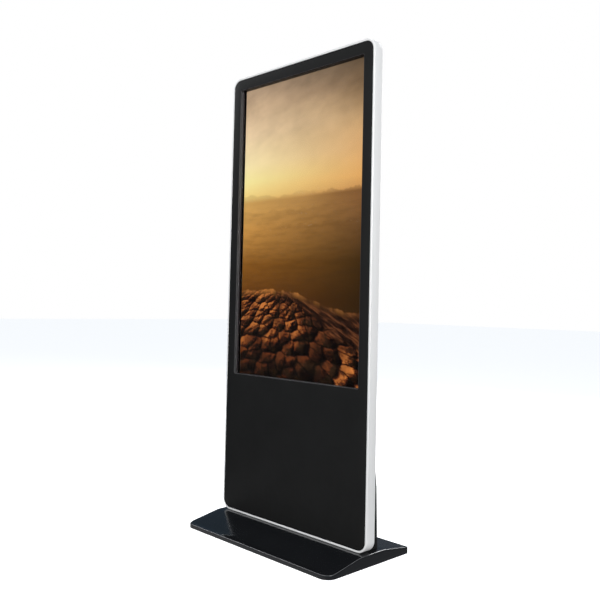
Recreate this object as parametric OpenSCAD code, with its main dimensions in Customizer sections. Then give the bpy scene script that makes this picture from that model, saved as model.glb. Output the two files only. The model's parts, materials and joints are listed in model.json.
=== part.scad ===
// Floor-standing touchscreen kiosk: a slim portrait totem on a wedge-shaped foot.
// Millimetres. Origin on the floor under the middle of the foot, +X to the right of a
// person facing the screen, +Y towards the back, +Z up.

/* [Body] */
// Outer width of the aluminium band
body_w = 800; // [780:1:840]
// Outer height of the aluminium band
body_h = 1835.5; // [1825:0.5:1850]
// Depth of the aluminium band
band_d = 43; // [43:1:46]
// Corner radius of the band
band_r = 44; // [40:1:50]
// Width of the bright rim round the front
rim_w = 8; // [6:0.5:9]
// Height of the band's underside above the floor
body_z = 44.5; // [44.5:0.5:48]

/* [Screen] */
// Width of the visible picture (55 inch, 16:9, upright)
picture_w = 680.4; // [680:0.1:681]
// Height of the visible picture
picture_h = 1209.6; // [1209:0.1:1210]
// Width of the opening in the front fascia
open_w = 696; // [692:1:697]
// Height of the opening in the front fascia
open_h = 1211; // [1211:1:1220]
// Strip of fascia above the opening
top_border = 46; // [43:1:47]
// Depth of the glass face behind the fascia face
glass_depth = 21; // [21:0.5:22]

/* [Foot] */
// Width of the foot
base_w = 794; // [780:1:800]
// Depth of the foot, front to back
base_d = 434; // [430:1:440]
// Height of the flat ridge under the body
ridge_h = 43.5; // [42:0.5:43.5]
// Depth of the flat ridge
ridge_d = 128; // [122:1:128]
// Distance of the ridge's middle behind the foot's middle
ridge_y = 12; // [12:1:14]
// Height of the front edge
front_edge_h = 16.5; // [14:0.5:17]
// Height of the rear edge
rear_edge_h = 24; // [20:0.5:26]
// Plan radius of the two front corners
front_corner_r = 40; // [30:1:50]

/* [Rear] */
// Inset of the rear cover from the band's edge
cover_inset = 30; // [30:1:32]
// How far the rear cover stands behind the band
cover_d = 35; // [35:0.5:36]
// Height where the lower shroud ends and the rear cover starts
shroud_top = 330; // [330:1:334]
// Width of the service door
door_w = 398; // [380:1:400]
// Height of the service door
door_h = 218; // [200:1:220]

/* [Hidden] */

body_y = 19;                        // the body's own zero lies this far behind the foot's middle
front_y = -46;                      // fascia face, in the body's own frame as all that follow
band_y1 = front_y + band_d;         // rear face of the band
cover_y1 = band_y1 + cover_d;       // outer face of the rear cover
skin = 1.5;                         // sheet of the rear cover, door and shroud
cover_in = cover_y1 - skin;         // inner face of the rear cover
body_top = body_z + body_h;
body_zc = body_z + body_h / 2;
fascia_w = body_w - 2 * rim_w;
fascia_h = body_h - 2 * rim_w;
fascia_r = band_r - rim_w;
fascia_t = 2;
open_top = body_top - rim_w - top_border;
screen_z = open_top - open_h / 2;   // height of the screen's centre
flange_d = 14;                      // depth of the folded edge round the opening
touch_y0 = front_y + flange_d;      // touch frame, front face
touch_w = 16;                       // width of the touch frame's channel
touch_wall = 1.5;
strip_t = 1.2;
joint_gap = 0.1;                    // between lengths that meet at a corner
glass_y0 = front_y + glass_depth;
glass_t = 4;
board_t = 1.6;
lcd_y0 = glass_y0 + glass_t + 0.5;  // front of the display module
rail_y0 = band_y1;                  // chassis rails, front face
lcd_w = 700;                        // display module, outside
lcd_h = 1230;
cell_y0 = lcd_y0 + 1.2;
cell_t = 2;                         // glass of the display
optics_t = 3;                       // diffuser and films
tray_front = cell_y0 + cell_t + optics_t;
lcd_y1 = rail_y0 - 3;               // back of the display module
rail_t = 13;
rail_x = 240;
rail_w = 40;
post_w = 60;
post_d = 20;
post_y0 = rail_y0 + rail_t;
cover_x = body_w / 2 - cover_inset; // outer side of the rear cover
cover_top = body_top - cover_inset;
door_zc = 500;
door_gap = 2;
row_z = 358;                        // height of the row of sockets and switches
inlet_x = 110;
switch_x = 64;
rocker_y = 29.5;                    // axis of the power rocker
socket_y1 = cover_y1 + 2;           // outer face of the socket flanges
lan_x = -20;
usb_x = [-48, -68];
button_x = -104;
fan_x = 120;
fan_z = 1760;
fan_size = 80;
fan_t = 15;
fan_hole = 35.75;                   // half the spacing of a fan's corner holes
fan_y0 = cover_in - fan_t;
fan_duct_r = 38;
blades = 7;
speaker_x = 320;
speaker_z = 480;
hinge_x = -door_w / 2 - door_gap / 2;
hinge_y = cover_y1 + 3.5;
hinge_zs = [door_zc - 70, door_zc + 70];
leaf_t = 1.2;
knuckle_r = 2.8;
pin_r = 1.5;
pin_gap = 0.05;                     // radial clearance in a bore that turns
lock_x = 165;
lock_y0 = 17.5;                     // inner end of the lock barrel
foot_in = 10.5;                     // top of the ballast plate
plate_z0 = 2.5;
riser_top = 36;
riser_half = 56;                    // half depth of the riser's top
riser_t = 4;
foot_pads = [for (x = [-330, 0, 330], y = [-165, 165]) [x, y]];
foot_screws = [for (x = [-350, 0, 350], s = [-1, 1]) [x, s * 120]];
toe_d = 22;                         // flat strip of the foot's top behind its front edge
toe_bend = 12;                      // length of slope that the bend at the toe takes in
ridge_bend = 18;                    // the same on each side of the ridge's two bends
shroud_z0 = ridge_h + 0.5;
shroud_foot_y = 49.2;               // rear face at the foot
shroud_knee = [40.7, 262];          // rear face at the knee, y and z
tray_x = 218;                       // half width of the equipment tray
tray_z = [120, 570];
tray_y0 = -22;
bolt_zs = [150, 350, 550];
bolt_hole_r = 4.2;
screw_hole_r = 2.2;
small_hole_r = 1.7;
cover_screw_at = concat(
    [for (s = [-1, 1], z = [400, 690, 980, 1270, 1560, 1820]) [s * (body_w / 2 - 14), z]],
    [for (x = [-240, 0, 240]) [x, body_top - 14]]);
shroud_screw_at = [for (s = [-1, 1], z = [110, 200, 290]) [s * (body_w / 2 - 14), z]];
player = [200, 35, 150];
player_at = [-130, tray_y0 + skin, 410];
psu = [200, 38, 100];
psu_at = [-190, tray_y0 + skin, 180];
amp = [100, board_t, 80];
amp_at = [80, -12, 200];
ctrl = [200, board_t, 150];
ctrl_at = [-100, 2, 1000];
round_fn = 64;

// ---------- helpers ----------

// Rounded rectangle, centred
module rounded(w, h, r) {
    square([w - 2 * r, h], center = true);
    square([w, h - 2 * r], center = true);
    for (sx = [-1, 1], sy = [-1, 1])
        translate([sx * (w / 2 - r), sy * (h / 2 - r)]) circle(r, $fn = round_fn);
}

// An X-Z drawing made solid from y0 to y1
module slab(y0, y1, zc = 0, xc = 0) {
    translate([xc, y1, zc]) rotate([90, 0, 0]) linear_extrude(y1 - y0) children();
}

// Upright rectangular ring: outer and inner sizes and radii
module ring(y0, y1, wo, ho, ro, wi, hi, ri, zc) {
    slab(y0, y1, zc) difference() {
        rounded(wo, ho, ro);
        rounded(wi, hi, ri);
    }
}

// Ring of the band's outline, between two insets
module band_ring(y0, y1, inset) {
    ring(y0, y1, body_w, body_h, band_r, body_w - 2 * inset, body_h - 2 * inset,
         max(band_r - inset, 2), body_zc);
}

// Cylinder along +Y from y0 to y1
module rod_y(x, z, y0, y1, r, fn = round_fn) {
    translate([x, y0, z]) rotate([-90, 0, 0]) cylinder(r = r, h = y1 - y0, $fn = fn);
}

// Cylinder along +Z from z0 to z1
module rod_z(x, y, z0, z1, r, fn = round_fn) {
    translate([x, y, z0]) cylinder(r = r, h = z1 - z0, $fn = fn);
}

// Box from one corner to the other
module box(a, b) {
    translate(a) cube(b - a);
}

// Long slot with round ends, along X
module slot2(w, h) {
    square([w - h, h], center = true);
    for (s = [-1, 1]) translate([s * (w - h) / 2, 0]) circle(h / 2, $fn = 24);
}

// Screw along Y: head on the low-y side when dir = 1, on the high-y side when dir = -1
module screw_y(x, z, y_head, len, r, head_r, head_h, dir) {
    if (dir > 0) {
        rod_y(x, z, y_head - head_h, y_head, head_r, 32);
        rod_y(x, z, y_head, y_head + len, r, 32);
    } else {
        rod_y(x, z, y_head, y_head + head_h, head_r, 32);
        rod_y(x, z, y_head - len, y_head, r, 32);
    }
}

// Smooth route through hand-set points, for the swept leads
function spline_at(a, b, c, d, t) =
    0.5 * ((2 * b) + (c - a) * t + (2 * a - 5 * b + 4 * c - d) * t * t
           + (3 * b - a - 3 * c + d) * t * t * t);
function route(p, steps) = let (n = len(p)) concat(
    [for (i = [0 : n - 2], s = [0 : steps - 1])
        spline_at(p[max(i - 1, 0)], p[i], p[i + 1], p[min(i + 2, n - 1)], s / steps)],
    [p[n - 1]]);
function unit(v) = v / norm(v);
function lead_ring(p, dir, ref, r, sides) =
    let (u = unit(cross(dir, ref)), v = unit(cross(dir, u)))
    [for (k = [0 : sides - 1]) p + r * (cos(k * 360 / sides) * u + sin(k * 360 / sides) * v)];

// Round lead of radius r along a route; ref is a direction that the route never takes
module lead(points, r, ref, steps = 4, sides = 8) {
    path = route(points, steps);
    n = len(path);
    rings = [for (i = [0 : n - 1])
        lead_ring(path[i], unit(path[min(i + 1, n - 1)] - path[max(i - 1, 0)]), ref, r, sides)];
    verts = [for (ring_pts = rings, q = ring_pts) q];
    walls = [for (i = [0 : n - 2], k = [0 : sides - 1])
        let (a = i * sides + k, b = i * sides + (k + 1) % sides)
        [a, b, b + sides, a + sides]];
    first = [for (k = [sides - 1 : -1 : 0]) k];
    last = [for (k = [0 : sides - 1]) (n - 1) * sides + k];
    polyhedron(points = verts, faces = concat([first], walls, [last]));
}

// Moves what is drawn in the body's own frame to its place over the foot
module in_body() {
    translate([0, body_y, 0]) children();
}

// ---------- foot ----------

// Curve that rounds the corner b, from da before it to dc after it
function bend(a, b, c, da, dc) =
    let (p = b + (a - b) * da / norm(a - b), q = b + (c - b) * dc / norm(c - b))
    [for (t = [0 : 0.125 : 1]) (1 - t) * (1 - t) * p + 2 * t * (1 - t) * b + t * t * q];

// Side view of the foot, inset by t: low toe, long slope, ridge under the body, rear slope
function foot_outline(t) =
    let (d = base_d / 2 - t,
         front = [-d, front_edge_h - t],
         toe = [-d + toe_d, front_edge_h - t],
         ridge_front = [ridge_y - ridge_d / 2, ridge_h - t],
         ridge_rear = [ridge_y + ridge_d / 2, ridge_h - t],
         rear = [d, rear_edge_h - t])
    concat([[-d, -1], front], bend(front, toe, ridge_front, toe_bend / 2, toe_bend),
           bend(toe, ridge_front, ridge_rear, ridge_bend, ridge_bend),
           bend(ridge_front, ridge_rear, rear, ridge_bend, ridge_bend), [rear, [d, -1]]);

// Plan of the foot, inset by t: large round corners in front, tight ones behind
module foot_plan(t) {
    w = base_w / 2 - t;
    d = base_d / 2 - t;
    rf = front_corner_r - t;
    rr = 8 - t;
    translate([-w + rf, -d]) square([2 * (w - rf), 2 * d - rr]);
    translate([-w, -d + rf]) square([2 * w, 2 * d - rf - rr]);
    translate([-w + rr, d - rr]) square([2 * (w - rr), rr]);
    for (s = [-1, 1]) {
        translate([s * (w - rf), -d + rf]) circle(rf, $fn = round_fn);
        translate([s * (w - rr), d - rr]) circle(rr, $fn = round_fn);
    }
}

module foot_solid(t, z0) {
    intersection() {
        translate([-base_w / 2, 0, 0]) rotate([90, 0, 90])
            linear_extrude(base_w) polygon(foot_outline(t));
        translate([0, 0, z0]) linear_extrude(ridge_h + 5) foot_plan(t);
    }
}

module base_feet() {
    color("dimgray") for (p = foot_pads) difference() {
        rod_z(p[0], p[1], 0, plate_z0, 20);
        rod_z(p[0], p[1], -1, 1, 9);
    }
}

module base_plate() {
    color("slategray") difference() {
        translate([0, 0, plate_z0]) linear_extrude(foot_in - plate_z0) foot_plan(4);
        for (p = foot_screws) {
            rod_z(p[0], p[1], plate_z0 - 1, foot_in + 1, 2.4);
            rod_z(p[0], p[1], plate_z0 - 1, plate_z0 + 2.6, 4.6);
        }
    }
}

// Hat-section bridge that carries the posts
module base_riser() {
    flange_z = foot_in + riser_t;
    out = riser_half + 20;
    inside = riser_half - riser_t;
    under = riser_top - riser_t;
    color("gray") difference() {
        translate([-330, ridge_y, 0]) rotate([90, 0, 90]) linear_extrude(660)
            polygon([[-out, foot_in], [-out, flange_z], [-riser_half, flange_z],
                     [-riser_half, riser_top], [riser_half, riser_top], [riser_half, flange_z],
                     [out, flange_z], [out, foot_in], [inside, foot_in], [inside, under],
                     [-inside, under], [-inside, foot_in]]);
        for (p = post_feet())
            rod_z(p[0], p[1] + body_y, under - 1, riser_top + 1, bolt_hole_r);
    }
}

function post_feet() = [for (s = [-1, 1], dx = [-48, 48], y = [-8, 36]) [s * rail_x + dx, y]];

module base_cover() {
    color("#14171b") difference() {
        union() {
            difference() {
                foot_solid(0, 1);
                foot_solid(2, 0);
            }
            intersection() {
                foot_solid(1, 1);
                union() for (p = foot_screws) rod_z(p[0], p[1], foot_in, ridge_h, 5);
            }
        }
        for (p = foot_screws) rod_z(p[0], p[1], foot_in - 1, 24, 2.1);
        for (s = [-1, 1])
            box([s * rail_x - post_w / 2 - 1, body_y + post_y0 - 1, ridge_h - 6],
                [s * rail_x + post_w / 2 + 1, body_y + post_y0 + post_d + 1, ridge_h + 1]);
    }
}

module base_screws() {
    color("silver") for (p = foot_screws) {
        rod_z(p[0], p[1], plate_z0 + 0.2, plate_z0 + 2.6, 4.2, 32);
        rod_z(p[0], p[1], plate_z0 + 2.6, 22, 2, 32);
    }
}

// Two box-section uprights welded to foot plates
module stand_posts() {
    color("gray") for (s = [-1, 1]) difference() {
        union() {
            box([s * rail_x - 60, -20, riser_top], [s * rail_x + 60, 50, riser_top + 4]);
            difference() {
                box([s * rail_x - post_w / 2, post_y0, riser_top + 4],
                    [s * rail_x + post_w / 2, post_y0 + post_d, 640]);
                box([s * rail_x - post_w / 2 + 2.5, post_y0 + 2.5, riser_top + 4],
                    [s * rail_x + post_w / 2 - 2.5, post_y0 + post_d - 2.5, 641]);
            }
        }
        for (p = post_feet()) rod_z(p[0], p[1], riser_top - 1, riser_top + 5, 4.1);
        for (z = bolt_zs) rod_y(s * rail_x, z, post_y0 - 1, post_y0 + 4, bolt_hole_r);
    }
}

module post_bolts() {
    color("silver") for (p = post_feet()) {
        rod_z(p[0], p[1], riser_top - 12, riser_top - 4, 6.5, 6);
        rod_z(p[0], p[1], riser_top - 4, riser_top + 4, 4, 32);
    }
}

// ---------- band and fascia ----------

// Extruded aluminium profile bent into a ring, with a seam at the bottom
module side_frame() {
    color("#e4e6e6") difference() {
        union() {
            band_ring(front_y, front_y + 4, rim_w - 0.3);
            band_ring(front_y + 4, front_y + 6, 22);
            band_ring(front_y + 6, band_y1 - 2, 3);
            band_ring(band_y1 - 2, band_y1, 46);
        }
        for (p = concat(cover_screw_at, shroud_screw_at))
            rod_y(p[0], p[1], band_y1 - 3, band_y1 + 1, screw_hole_r, 32);
        box([-0.2, front_y - 1, body_z - 1], [0.2, band_y1 + 1, body_z + 47]);
    }
}

module frame_splice() {
    color("silver") {
        box([-60, front_y + 8, body_z + 3], [60, band_y1 - 4, body_z + 6]);
        for (x = [-40, -20, 20, 40])
            rod_z(x, (front_y + band_y1) / 2, body_z + 6, body_z + 8.5, 4, 6);
    }
}

// Black sheet with a folded edge round the screen opening
module front_fascia() {
    color("#1f1f1f") {
        difference() {
            slab(front_y, front_y + fascia_t, body_zc) rounded(fascia_w, fascia_h, fascia_r);
            slab(front_y - 1, front_y + fascia_t + 1, screen_z) rounded(open_w, open_h, 3);
        }
        ring(front_y + fascia_t, touch_y0, open_w + 4, open_h + 4, 5, open_w, open_h, 3, screen_z);
    }
}

module fascia_gasket() {
    color("black") ring(front_y + fascia_t, front_y + 4, fascia_w - 2, fascia_h - 2, fascia_r - 1,
                        fascia_w - 24, fascia_h - 24, fascia_r - 12, body_zc);
}

// ---------- chassis ----------

// Two upright box tubes from the bottom of the band to its top
module chassis_rails() {
    color("gray") for (s = [-1, 1]) difference() {
        box([s * rail_x - rail_w / 2, rail_y0, body_z + 34],
            [s * rail_x + rail_w / 2, rail_y0 + rail_t, body_top - 34]);
        box([s * rail_x - rail_w / 2 + 1.5, rail_y0 + 1.5, body_z + 33],
            [s * rail_x + rail_w / 2 - 1.5, rail_y0 + rail_t - 1.5, body_top - 33]);
        for (z = bolt_zs) rod_y(s * rail_x, z, rail_y0 - 1, rail_y0 + rail_t + 1, bolt_hole_r);
    }
}

module cross_bars() {
    color("gray") for (z = [596, 1230, 1640])
        box([-rail_x + rail_w / 2, rail_y0, z], [rail_x - rail_w / 2, rail_y0 + rail_t, z + 20]);
}

module rail_bolts() {
    color("silver") for (s = [-1, 1], z = bolt_zs)
        screw_y(s * rail_x, z, rail_y0 - skin, skin + rail_t + 2.5, 4, 6.5, 4, 1);
}

// ---------- touch sensor and glass ----------

// Four lengths round the opening, between two distances from its edge: two uprights and,
// between them, two level ones that reach half_w from the middle
module touch_lengths(y0, y1, inner, outer, half_w) {
    for (s = [-1, 1]) {
        slab(y0, y1, screen_z, s * (open_w + inner + outer) / 2)
            square([outer - inner, open_h + 2 * outer], center = true);
        slab(y0, y1, screen_z + s * (open_h + inner + outer) / 2)
            square([2 * half_w, outer - inner], center = true);
    }
}

// Four channels that face the opening and meet at its corners
module touch_frame() {
    color("#26282a") difference() {
        touch_lengths(touch_y0, glass_y0, 0, touch_w, open_w / 2 - joint_gap);
        touch_lengths(touch_y0 + touch_wall, glass_y0 - touch_wall, -1, touch_w - 2 * touch_wall,
                      open_w / 2 + touch_wall);
    }
}

// Dark strips that pass infrared, flush with the inside of the touch frame
module touch_filter_strips() {
    color("#15070a") touch_lengths(touch_y0 + touch_wall, glass_y0 - touch_wall, 0, strip_t,
                                   open_w / 2 - joint_gap);
}

// Narrow boards that carry the light beams' senders and receivers
module touch_boards() {
    y0 = touch_y0 + touch_wall;
    color("darkgreen") touch_lengths(y0, y0 + board_t, 2 * strip_t, touch_w - 2 * touch_wall - 1,
                                     open_w / 2 - 5);
}

module cover_glass() {
    color([0.6, 0.7, 0.75, 0.35])
        slab(glass_y0, glass_y0 + glass_t, screen_z) rounded(open_w + 22, open_h + 22, 4);
}

module glass_gasket() {
    color("black") ring(glass_y0 + glass_t, lcd_y0, picture_w + 18, picture_h + 18, 3,
                        picture_w + 4, picture_h + 4, 1, screen_z);
}

// Z-shaped clips that hold the touch frame and glass against the fascia
module glass_clips() {
    x0 = open_w / 2 + touch_w + 0.2;
    y0 = front_y + fascia_t;
    y1 = glass_y0 + glass_t;
    color("silver") for (s = [0, 1], k = [-1.5 : 1 : 1.5])
        translate([0, 0, screen_z + k * 330]) mirror([s, 0, 0]) {
            box([x0, y0, -15], [x0 + 10, y1 + 1.5, 15]);
            box([x0 - 8, y1, -15], [x0, y1 + 1.5, 15]);
        }
}

// ---------- display module ----------

module lcd_bezel() {
    color("#1a1a1a") {
        ring(lcd_y0, cell_y0, lcd_w, lcd_h, 2, picture_w, picture_h, 0.5, screen_z);
        ring(cell_y0, lcd_y0 + 11.5, lcd_w, lcd_h, 2, lcd_w - 2.4, lcd_h - 2.4, 1, screen_z);
    }
}

module lcd_cell() {
    color("#4a3a2c") slab(cell_y0, cell_y0 + cell_t, screen_z) square([692, 1221], center = true);
}

module lcd_diffuser() {
    color("white") slab(cell_y0 + cell_t, tray_front, screen_z) square([692, 1221], center = true);
}

// Backlight bars, each a board with a row of lens caps
module lcd_led_strips() {
    y1 = lcd_y1 - 1;
    color("ivory") for (k = [-3.5 : 1 : 3.5]) {
        translate([0, 0, screen_z + k * 146]) {
            box([-320, y1 - 1.5, -8], [320, y1, 8]);
            for (j = [-3 : 3]) rod_y(j * 96, 0, y1 - 3.5, y1 - 1.5, 7, 24);
        }
    }
}

// Backlight pan with four bosses that stand it off the rails
module lcd_tray() {
    w = lcd_w - 2.8;
    h = lcd_h - 2.8;
    color("lightgray") {
        slab(lcd_y1 - 1, lcd_y1, screen_z) square([w, h], center = true);
        ring(tray_front, lcd_y1 - 1, w, h, 1.5, w - 2, h - 2, 0.5, screen_z);
        for (s = [-1, 1], z = [screen_z - 500, screen_z + 500])
            rod_y(s * rail_x, z, lcd_y1, rail_y0, 9, 32);
    }
}

module controller_board() {
    x = ctrl_at[0];
    z = ctrl_at[2];
    y = ctrl_at[1] + ctrl[1];
    color("darkgreen") translate(ctrl_at) cube(ctrl);
    color("dimgray") {
        box([x + 70, y, z + 60], [x + 110, y + 8, z + 100]);
        box([x + 20, y, z], [x + 60, y + 11, z + 16]);
        for (k = [0 : 3]) rod_y(x + 150, z + 30 + k * 26, y, y + 10, 6, 24);
    }
}

// ---------- lower compartment ----------

module equipment_tray() {
    y0 = tray_y0;
    z0 = tray_z[0];
    z1 = tray_z[1];
    color("lightgray") difference() {
        union() {
            box([-tray_x, y0, z0], [tray_x, y0 + skin, z1]);
            for (s = [0, 1]) mirror([s, 0, 0]) {
                box([tray_x - skin, y0 + skin, z0], [tray_x, rail_y0 - skin, z1]);
                box([tray_x - skin, rail_y0 - skin, z0], [rail_x + 18, rail_y0, z1]);
            }
        }
        for (s = [-1, 1]) {
            for (z = bolt_zs) rod_y(s * rail_x, z, rail_y0 - 3, rail_y0 + 1, bolt_hole_r);
            translate([s * tray_x - 5, (y0 + rail_y0) / 2, 300]) rotate([0, 90, 0])
                cylinder(r = 6, h = 10, $fn = 32);
        }
    }
}

module media_player() {
    p = player_at;
    color("#303338") {
        difference() {
            translate(p) cube(player);
            for (k = [0 : 8]) box([p[0] + 30 + k * 16, p[1] + player[1] - 2, p[2] + 30],
                                  [p[0] + 36 + k * 16, p[1] + player[1] + 1, p[2] + 120]);
        }
    }
}

module power_supply() {
    p = psu_at;
    color("silver") difference() {
        translate(p) cube(psu);
        for (k = [0 : 9], j = [0 : 3])
            rod_y(p[0] + 25 + k * 16, p[2] + 26 + j * 16, p[1] + psu[1] - 1.5,
                  p[1] + psu[1] + 1, 4.5, 24);
    }
}

module amplifier_board() {
    p = amp_at;
    y = p[1] + amp[1];
    color("darkgreen") translate(p) cube(amp);
    color("black") {
        box([p[0] + 30, y, p[2] + 45], [p[0] + 70, y + 18, p[2] + 65]);
        box([p[0], y, p[2] + 25], [p[0] + 12, y + 10, p[2] + 55]);
        box([p[0] + 88, y, p[2] + 25], [p[0] + 100, y + 10, p[2] + 55]);
    }
}

// Spacers under the two bare boards
module board_standoffs() {
    color("goldenrod") {
        for (dx = [6, amp[0] - 6], dz = [6, amp[2] - 6])
            rod_y(amp_at[0] + dx, amp_at[2] + dz, tray_y0 + skin, amp_at[1], 3, 6);
        for (dx = [8, ctrl[0] - 8], dz = [24, ctrl[2] - 8])
            rod_y(ctrl_at[0] + dx, ctrl_at[2] + dz, lcd_y1, ctrl_at[1], 3, 6);
    }
}

// ---------- sockets and switches in the rear cover ----------

// Inlet for a mains lead: flanged body with a deep keyed cavity
module power_inlet() {
    color("#191919") difference() {
        union() {
            slab(cover_y1, socket_y1, row_z, inlet_x) rounded(50, 24, 3);
            slab(12, cover_y1, row_z, inlet_x) square([27.6, 20], center = true);
        }
        slab(17, socket_y1 + 1, row_z, inlet_x) polygon(
            [[-11.9, -8.1], [11.9, -8.1], [11.9, 4.6], [8.4, 8.1], [-8.4, 8.1], [-11.9, 4.6]]);
        for (s = [-1, 1]) rod_y(inlet_x + s * 20, row_z, cover_y1 - 1, socket_y1 + 1, small_hole_r, 24);
    }
}

module inlet_pins() {
    color("gold") for (p = [[-7, -2], [0, 2], [7, -2]])
        translate([inlet_x + p[0], 17 + 5.5, row_z + p[1]]) cube([2, 11, 4], center = true);
}

module switch_housing() {
    color("#191919") difference() {
        union() {
            slab(cover_y1, socket_y1, row_z, switch_x) rounded(15, 21, 1.5);
            slab(14, cover_y1, row_z, switch_x) square([13, 19], center = true);
        }
        slab(16, socket_y1 + 1, row_z, switch_x) square([10.6, 16.8], center = true);
        translate([switch_x - 6, rocker_y, row_z]) rotate([0, 90, 0])
            cylinder(r = 1.55, h = 12, $fn = round_fn);
    }
}

// Paddle with two stub axles, resting tipped to its off side
module power_rocker() {
    color("#2a2a2a") translate([switch_x, rocker_y, row_z]) rotate([9, 0, 0]) {
        translate([-5, 0, 0]) rotate([90, 0, 90]) linear_extrude(10)
            polygon([[-2, -5], [-2, 5], [2, 7], [5.2, 7], [3.8, 0], [5.2, -7], [2, -7]]);
        translate([-5.9, 0, 0]) rotate([0, 90, 0]) cylinder(r = 1.5, h = 11.8, $fn = round_fn);
    }
}

// Network socket and two data sockets, each a hollow shell on the inside of the cover
module io_sockets() {
    color("#8c9094") {
        difference() {
            slab(14, cover_y1 + 0.5, row_z, lan_x) square([16, 14], center = true);
            slab(18, cover_y1 + 2, row_z, lan_x) union() {
                square([12, 8], center = true);
                translate([0, -4.8]) square([6, 3], center = true);
            }
        }
        for (x = usb_x) {
            difference() {
                slab(16, cover_y1 + 0.5, row_z, x) square([8, 15], center = true);
                slab(18, cover_y1 + 2, row_z, x) square([5.2, 12.6], center = true);
            }
            box([x - 2.6, 18, row_z - 5.4], [x - 0.8, 29, row_z + 5.4]);
        }
    }
}

module button_bezel() {
    color("silver") difference() {
        union() {
            rod_y(button_x, row_z, cover_y1, socket_y1, 11);
            rod_y(button_x, row_z, 16, cover_y1, 9.4);
            rod_y(button_x, row_z, cover_in - 3, cover_in, 13, 6);
        }
        rod_y(button_x, row_z, 18, socket_y1 + 1, 7.5);
    }
}

module start_button() {
    color("#b9bcc0") {
        rod_y(button_x, row_z, 26, socket_y1 + 1, 7.2);
        rod_y(button_x, row_z, 21, 26, 3, 32);
    }
}

// ---------- sound ----------

module speaker_turned(s) {
    translate([s * speaker_x, cover_in, speaker_z]) rotate([90, 0, 0])
        rotate_extrude($fn = round_fn) children();
}

module speaker_frames() {
    color("#2b2b2b") for (s = [-1, 1]) speaker_turned(s)
        polygon([[28, 0], [35, 0], [35, 2], [31, 2], [20, 17], [6, 17], [6, 15.5], [18.5, 15.5],
                 [28, 2]]);
}

module speaker_cones() {
    color("#151515") for (s = [-1, 1]) speaker_turned(s)
        polygon([[0, 9.5], [7, 11], [24, 2.2], [27.6, 1], [27.6, 0.4], [24, 1.2], [7, 9.6],
                 [0, 8.1]]);
}

module speaker_magnets() {
    color("gray") for (s = [-1, 1])
        rod_y(s * speaker_x, speaker_z, cover_in - 27, cover_in - 17, 17);
}

// ---------- rear cover, shroud and door ----------

// Rows of slots: n slots of size w x h, spaced by pitch, from height z0 upwards
module slot_rows(x, z0, n, w, h, pitch) {
    for (k = [0 : n - 1])
        slab(cover_in - 2, cover_y1 + 1, z0 + k * pitch, x) slot2(w, h);
}

// Folded pan with a fixing flange that lies on the back of the band
module rear_cover() {
    h = cover_top - shroud_top;
    zc = shroud_top + h / 2;
    pan_r = 16;
    flange_w = cover_inset - 6;
    color("#1c1d1f") difference() {
        union() {
            intersection() {
                difference() {
                    slab(band_y1, cover_y1, zc - 20) rounded(2 * cover_x, h + 40, pan_r);
                    slab(band_y1 - 1, cover_in, zc - 20)
                        rounded(2 * (cover_x - skin), h + 40 - 2 * skin, pan_r - skin);
                }
                box([-body_w, band_y1 - 2, shroud_top], [body_w, cover_y1 + 1, body_top]);
            }
            intersection() {
                slab(band_y1, band_y1 + skin, zc - 20) difference() {
                    rounded(2 * (cover_x + flange_w), h + 40 + 2 * flange_w, band_r - 6);
                    rounded(2 * (cover_x - skin), h + 40 - 2 * skin, pan_r - skin);
                }
                box([-body_w, band_y1 - 2, shroud_top], [body_w, cover_y1 + 1, body_top]);
            }
            ring(cover_in - 1.8, cover_in, door_w + 10, door_h + 10, 3, door_w + 4, door_h + 4, 1,
                 door_zc);
            ring(cover_in - 1.8, cover_in - 0.3, door_w + 10, door_h + 10, 3, door_w - 20,
                 door_h - 20, 1, door_zc);
        }
        slab(cover_in - 0.2, cover_y1 + 1, door_zc)
            square([door_w + 2 * door_gap, door_h + 2 * door_gap], center = true);
        for (s = [-1, 1]) rod_y(s * fan_x, fan_z, cover_in - 1, cover_y1 + 1, fan_duct_r - 1);
        for (p = cover_screw_at) rod_y(p[0], p[1], band_y1 - 1, band_y1 + 3, screw_hole_r, 32);
        for (s = [-1, 1], fx = [-1, 1], fz = [-1, 1])
            rod_y(s * fan_x + fx * fan_hole, fan_z + fz * fan_hole, cover_in - 1, cover_y1 + 1, 2.2, 24);
        for (s = [-1, 1]) {
            slot_rows(s * speaker_x, speaker_z - 20, 5, 44, 4, 10);
            slot_rows(s * 150, 690, 8, 120, 4, 12);
            slot_rows(s * 150, 1330, 8, 120, 4, 12);
        }
        slab(cover_in - 1, cover_y1 + 1, row_z, inlet_x) square([28, 20.4], center = true);
        for (s = [-1, 1]) rod_y(inlet_x + s * 20, row_z, cover_in - 1, cover_y1 + 1, small_hole_r, 24);
        slab(cover_in - 1, cover_y1 + 1, row_z, switch_x) square([13.4, 19.4], center = true);
        slab(cover_in - 1, cover_y1 + 1, row_z, lan_x) square([16.2, 14.2], center = true);
        for (x = usb_x)
            slab(cover_in - 1, cover_y1 + 1, row_z, x) square([8.2, 15.2], center = true);
        rod_y(button_x, row_z, cover_in - 1, cover_y1 + 1, 9.6);
    }
}

module cover_screws() {
    color("silver") {
        for (p = cover_screw_at) screw_y(p[0], p[1], band_y1 + skin, 6, 2, 3.6, 2, -1);
        for (p = shroud_screw_at) screw_y(p[0], p[1], band_y1 + skin, 6, 2, 3.6, 2, -1);
    }
}

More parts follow.
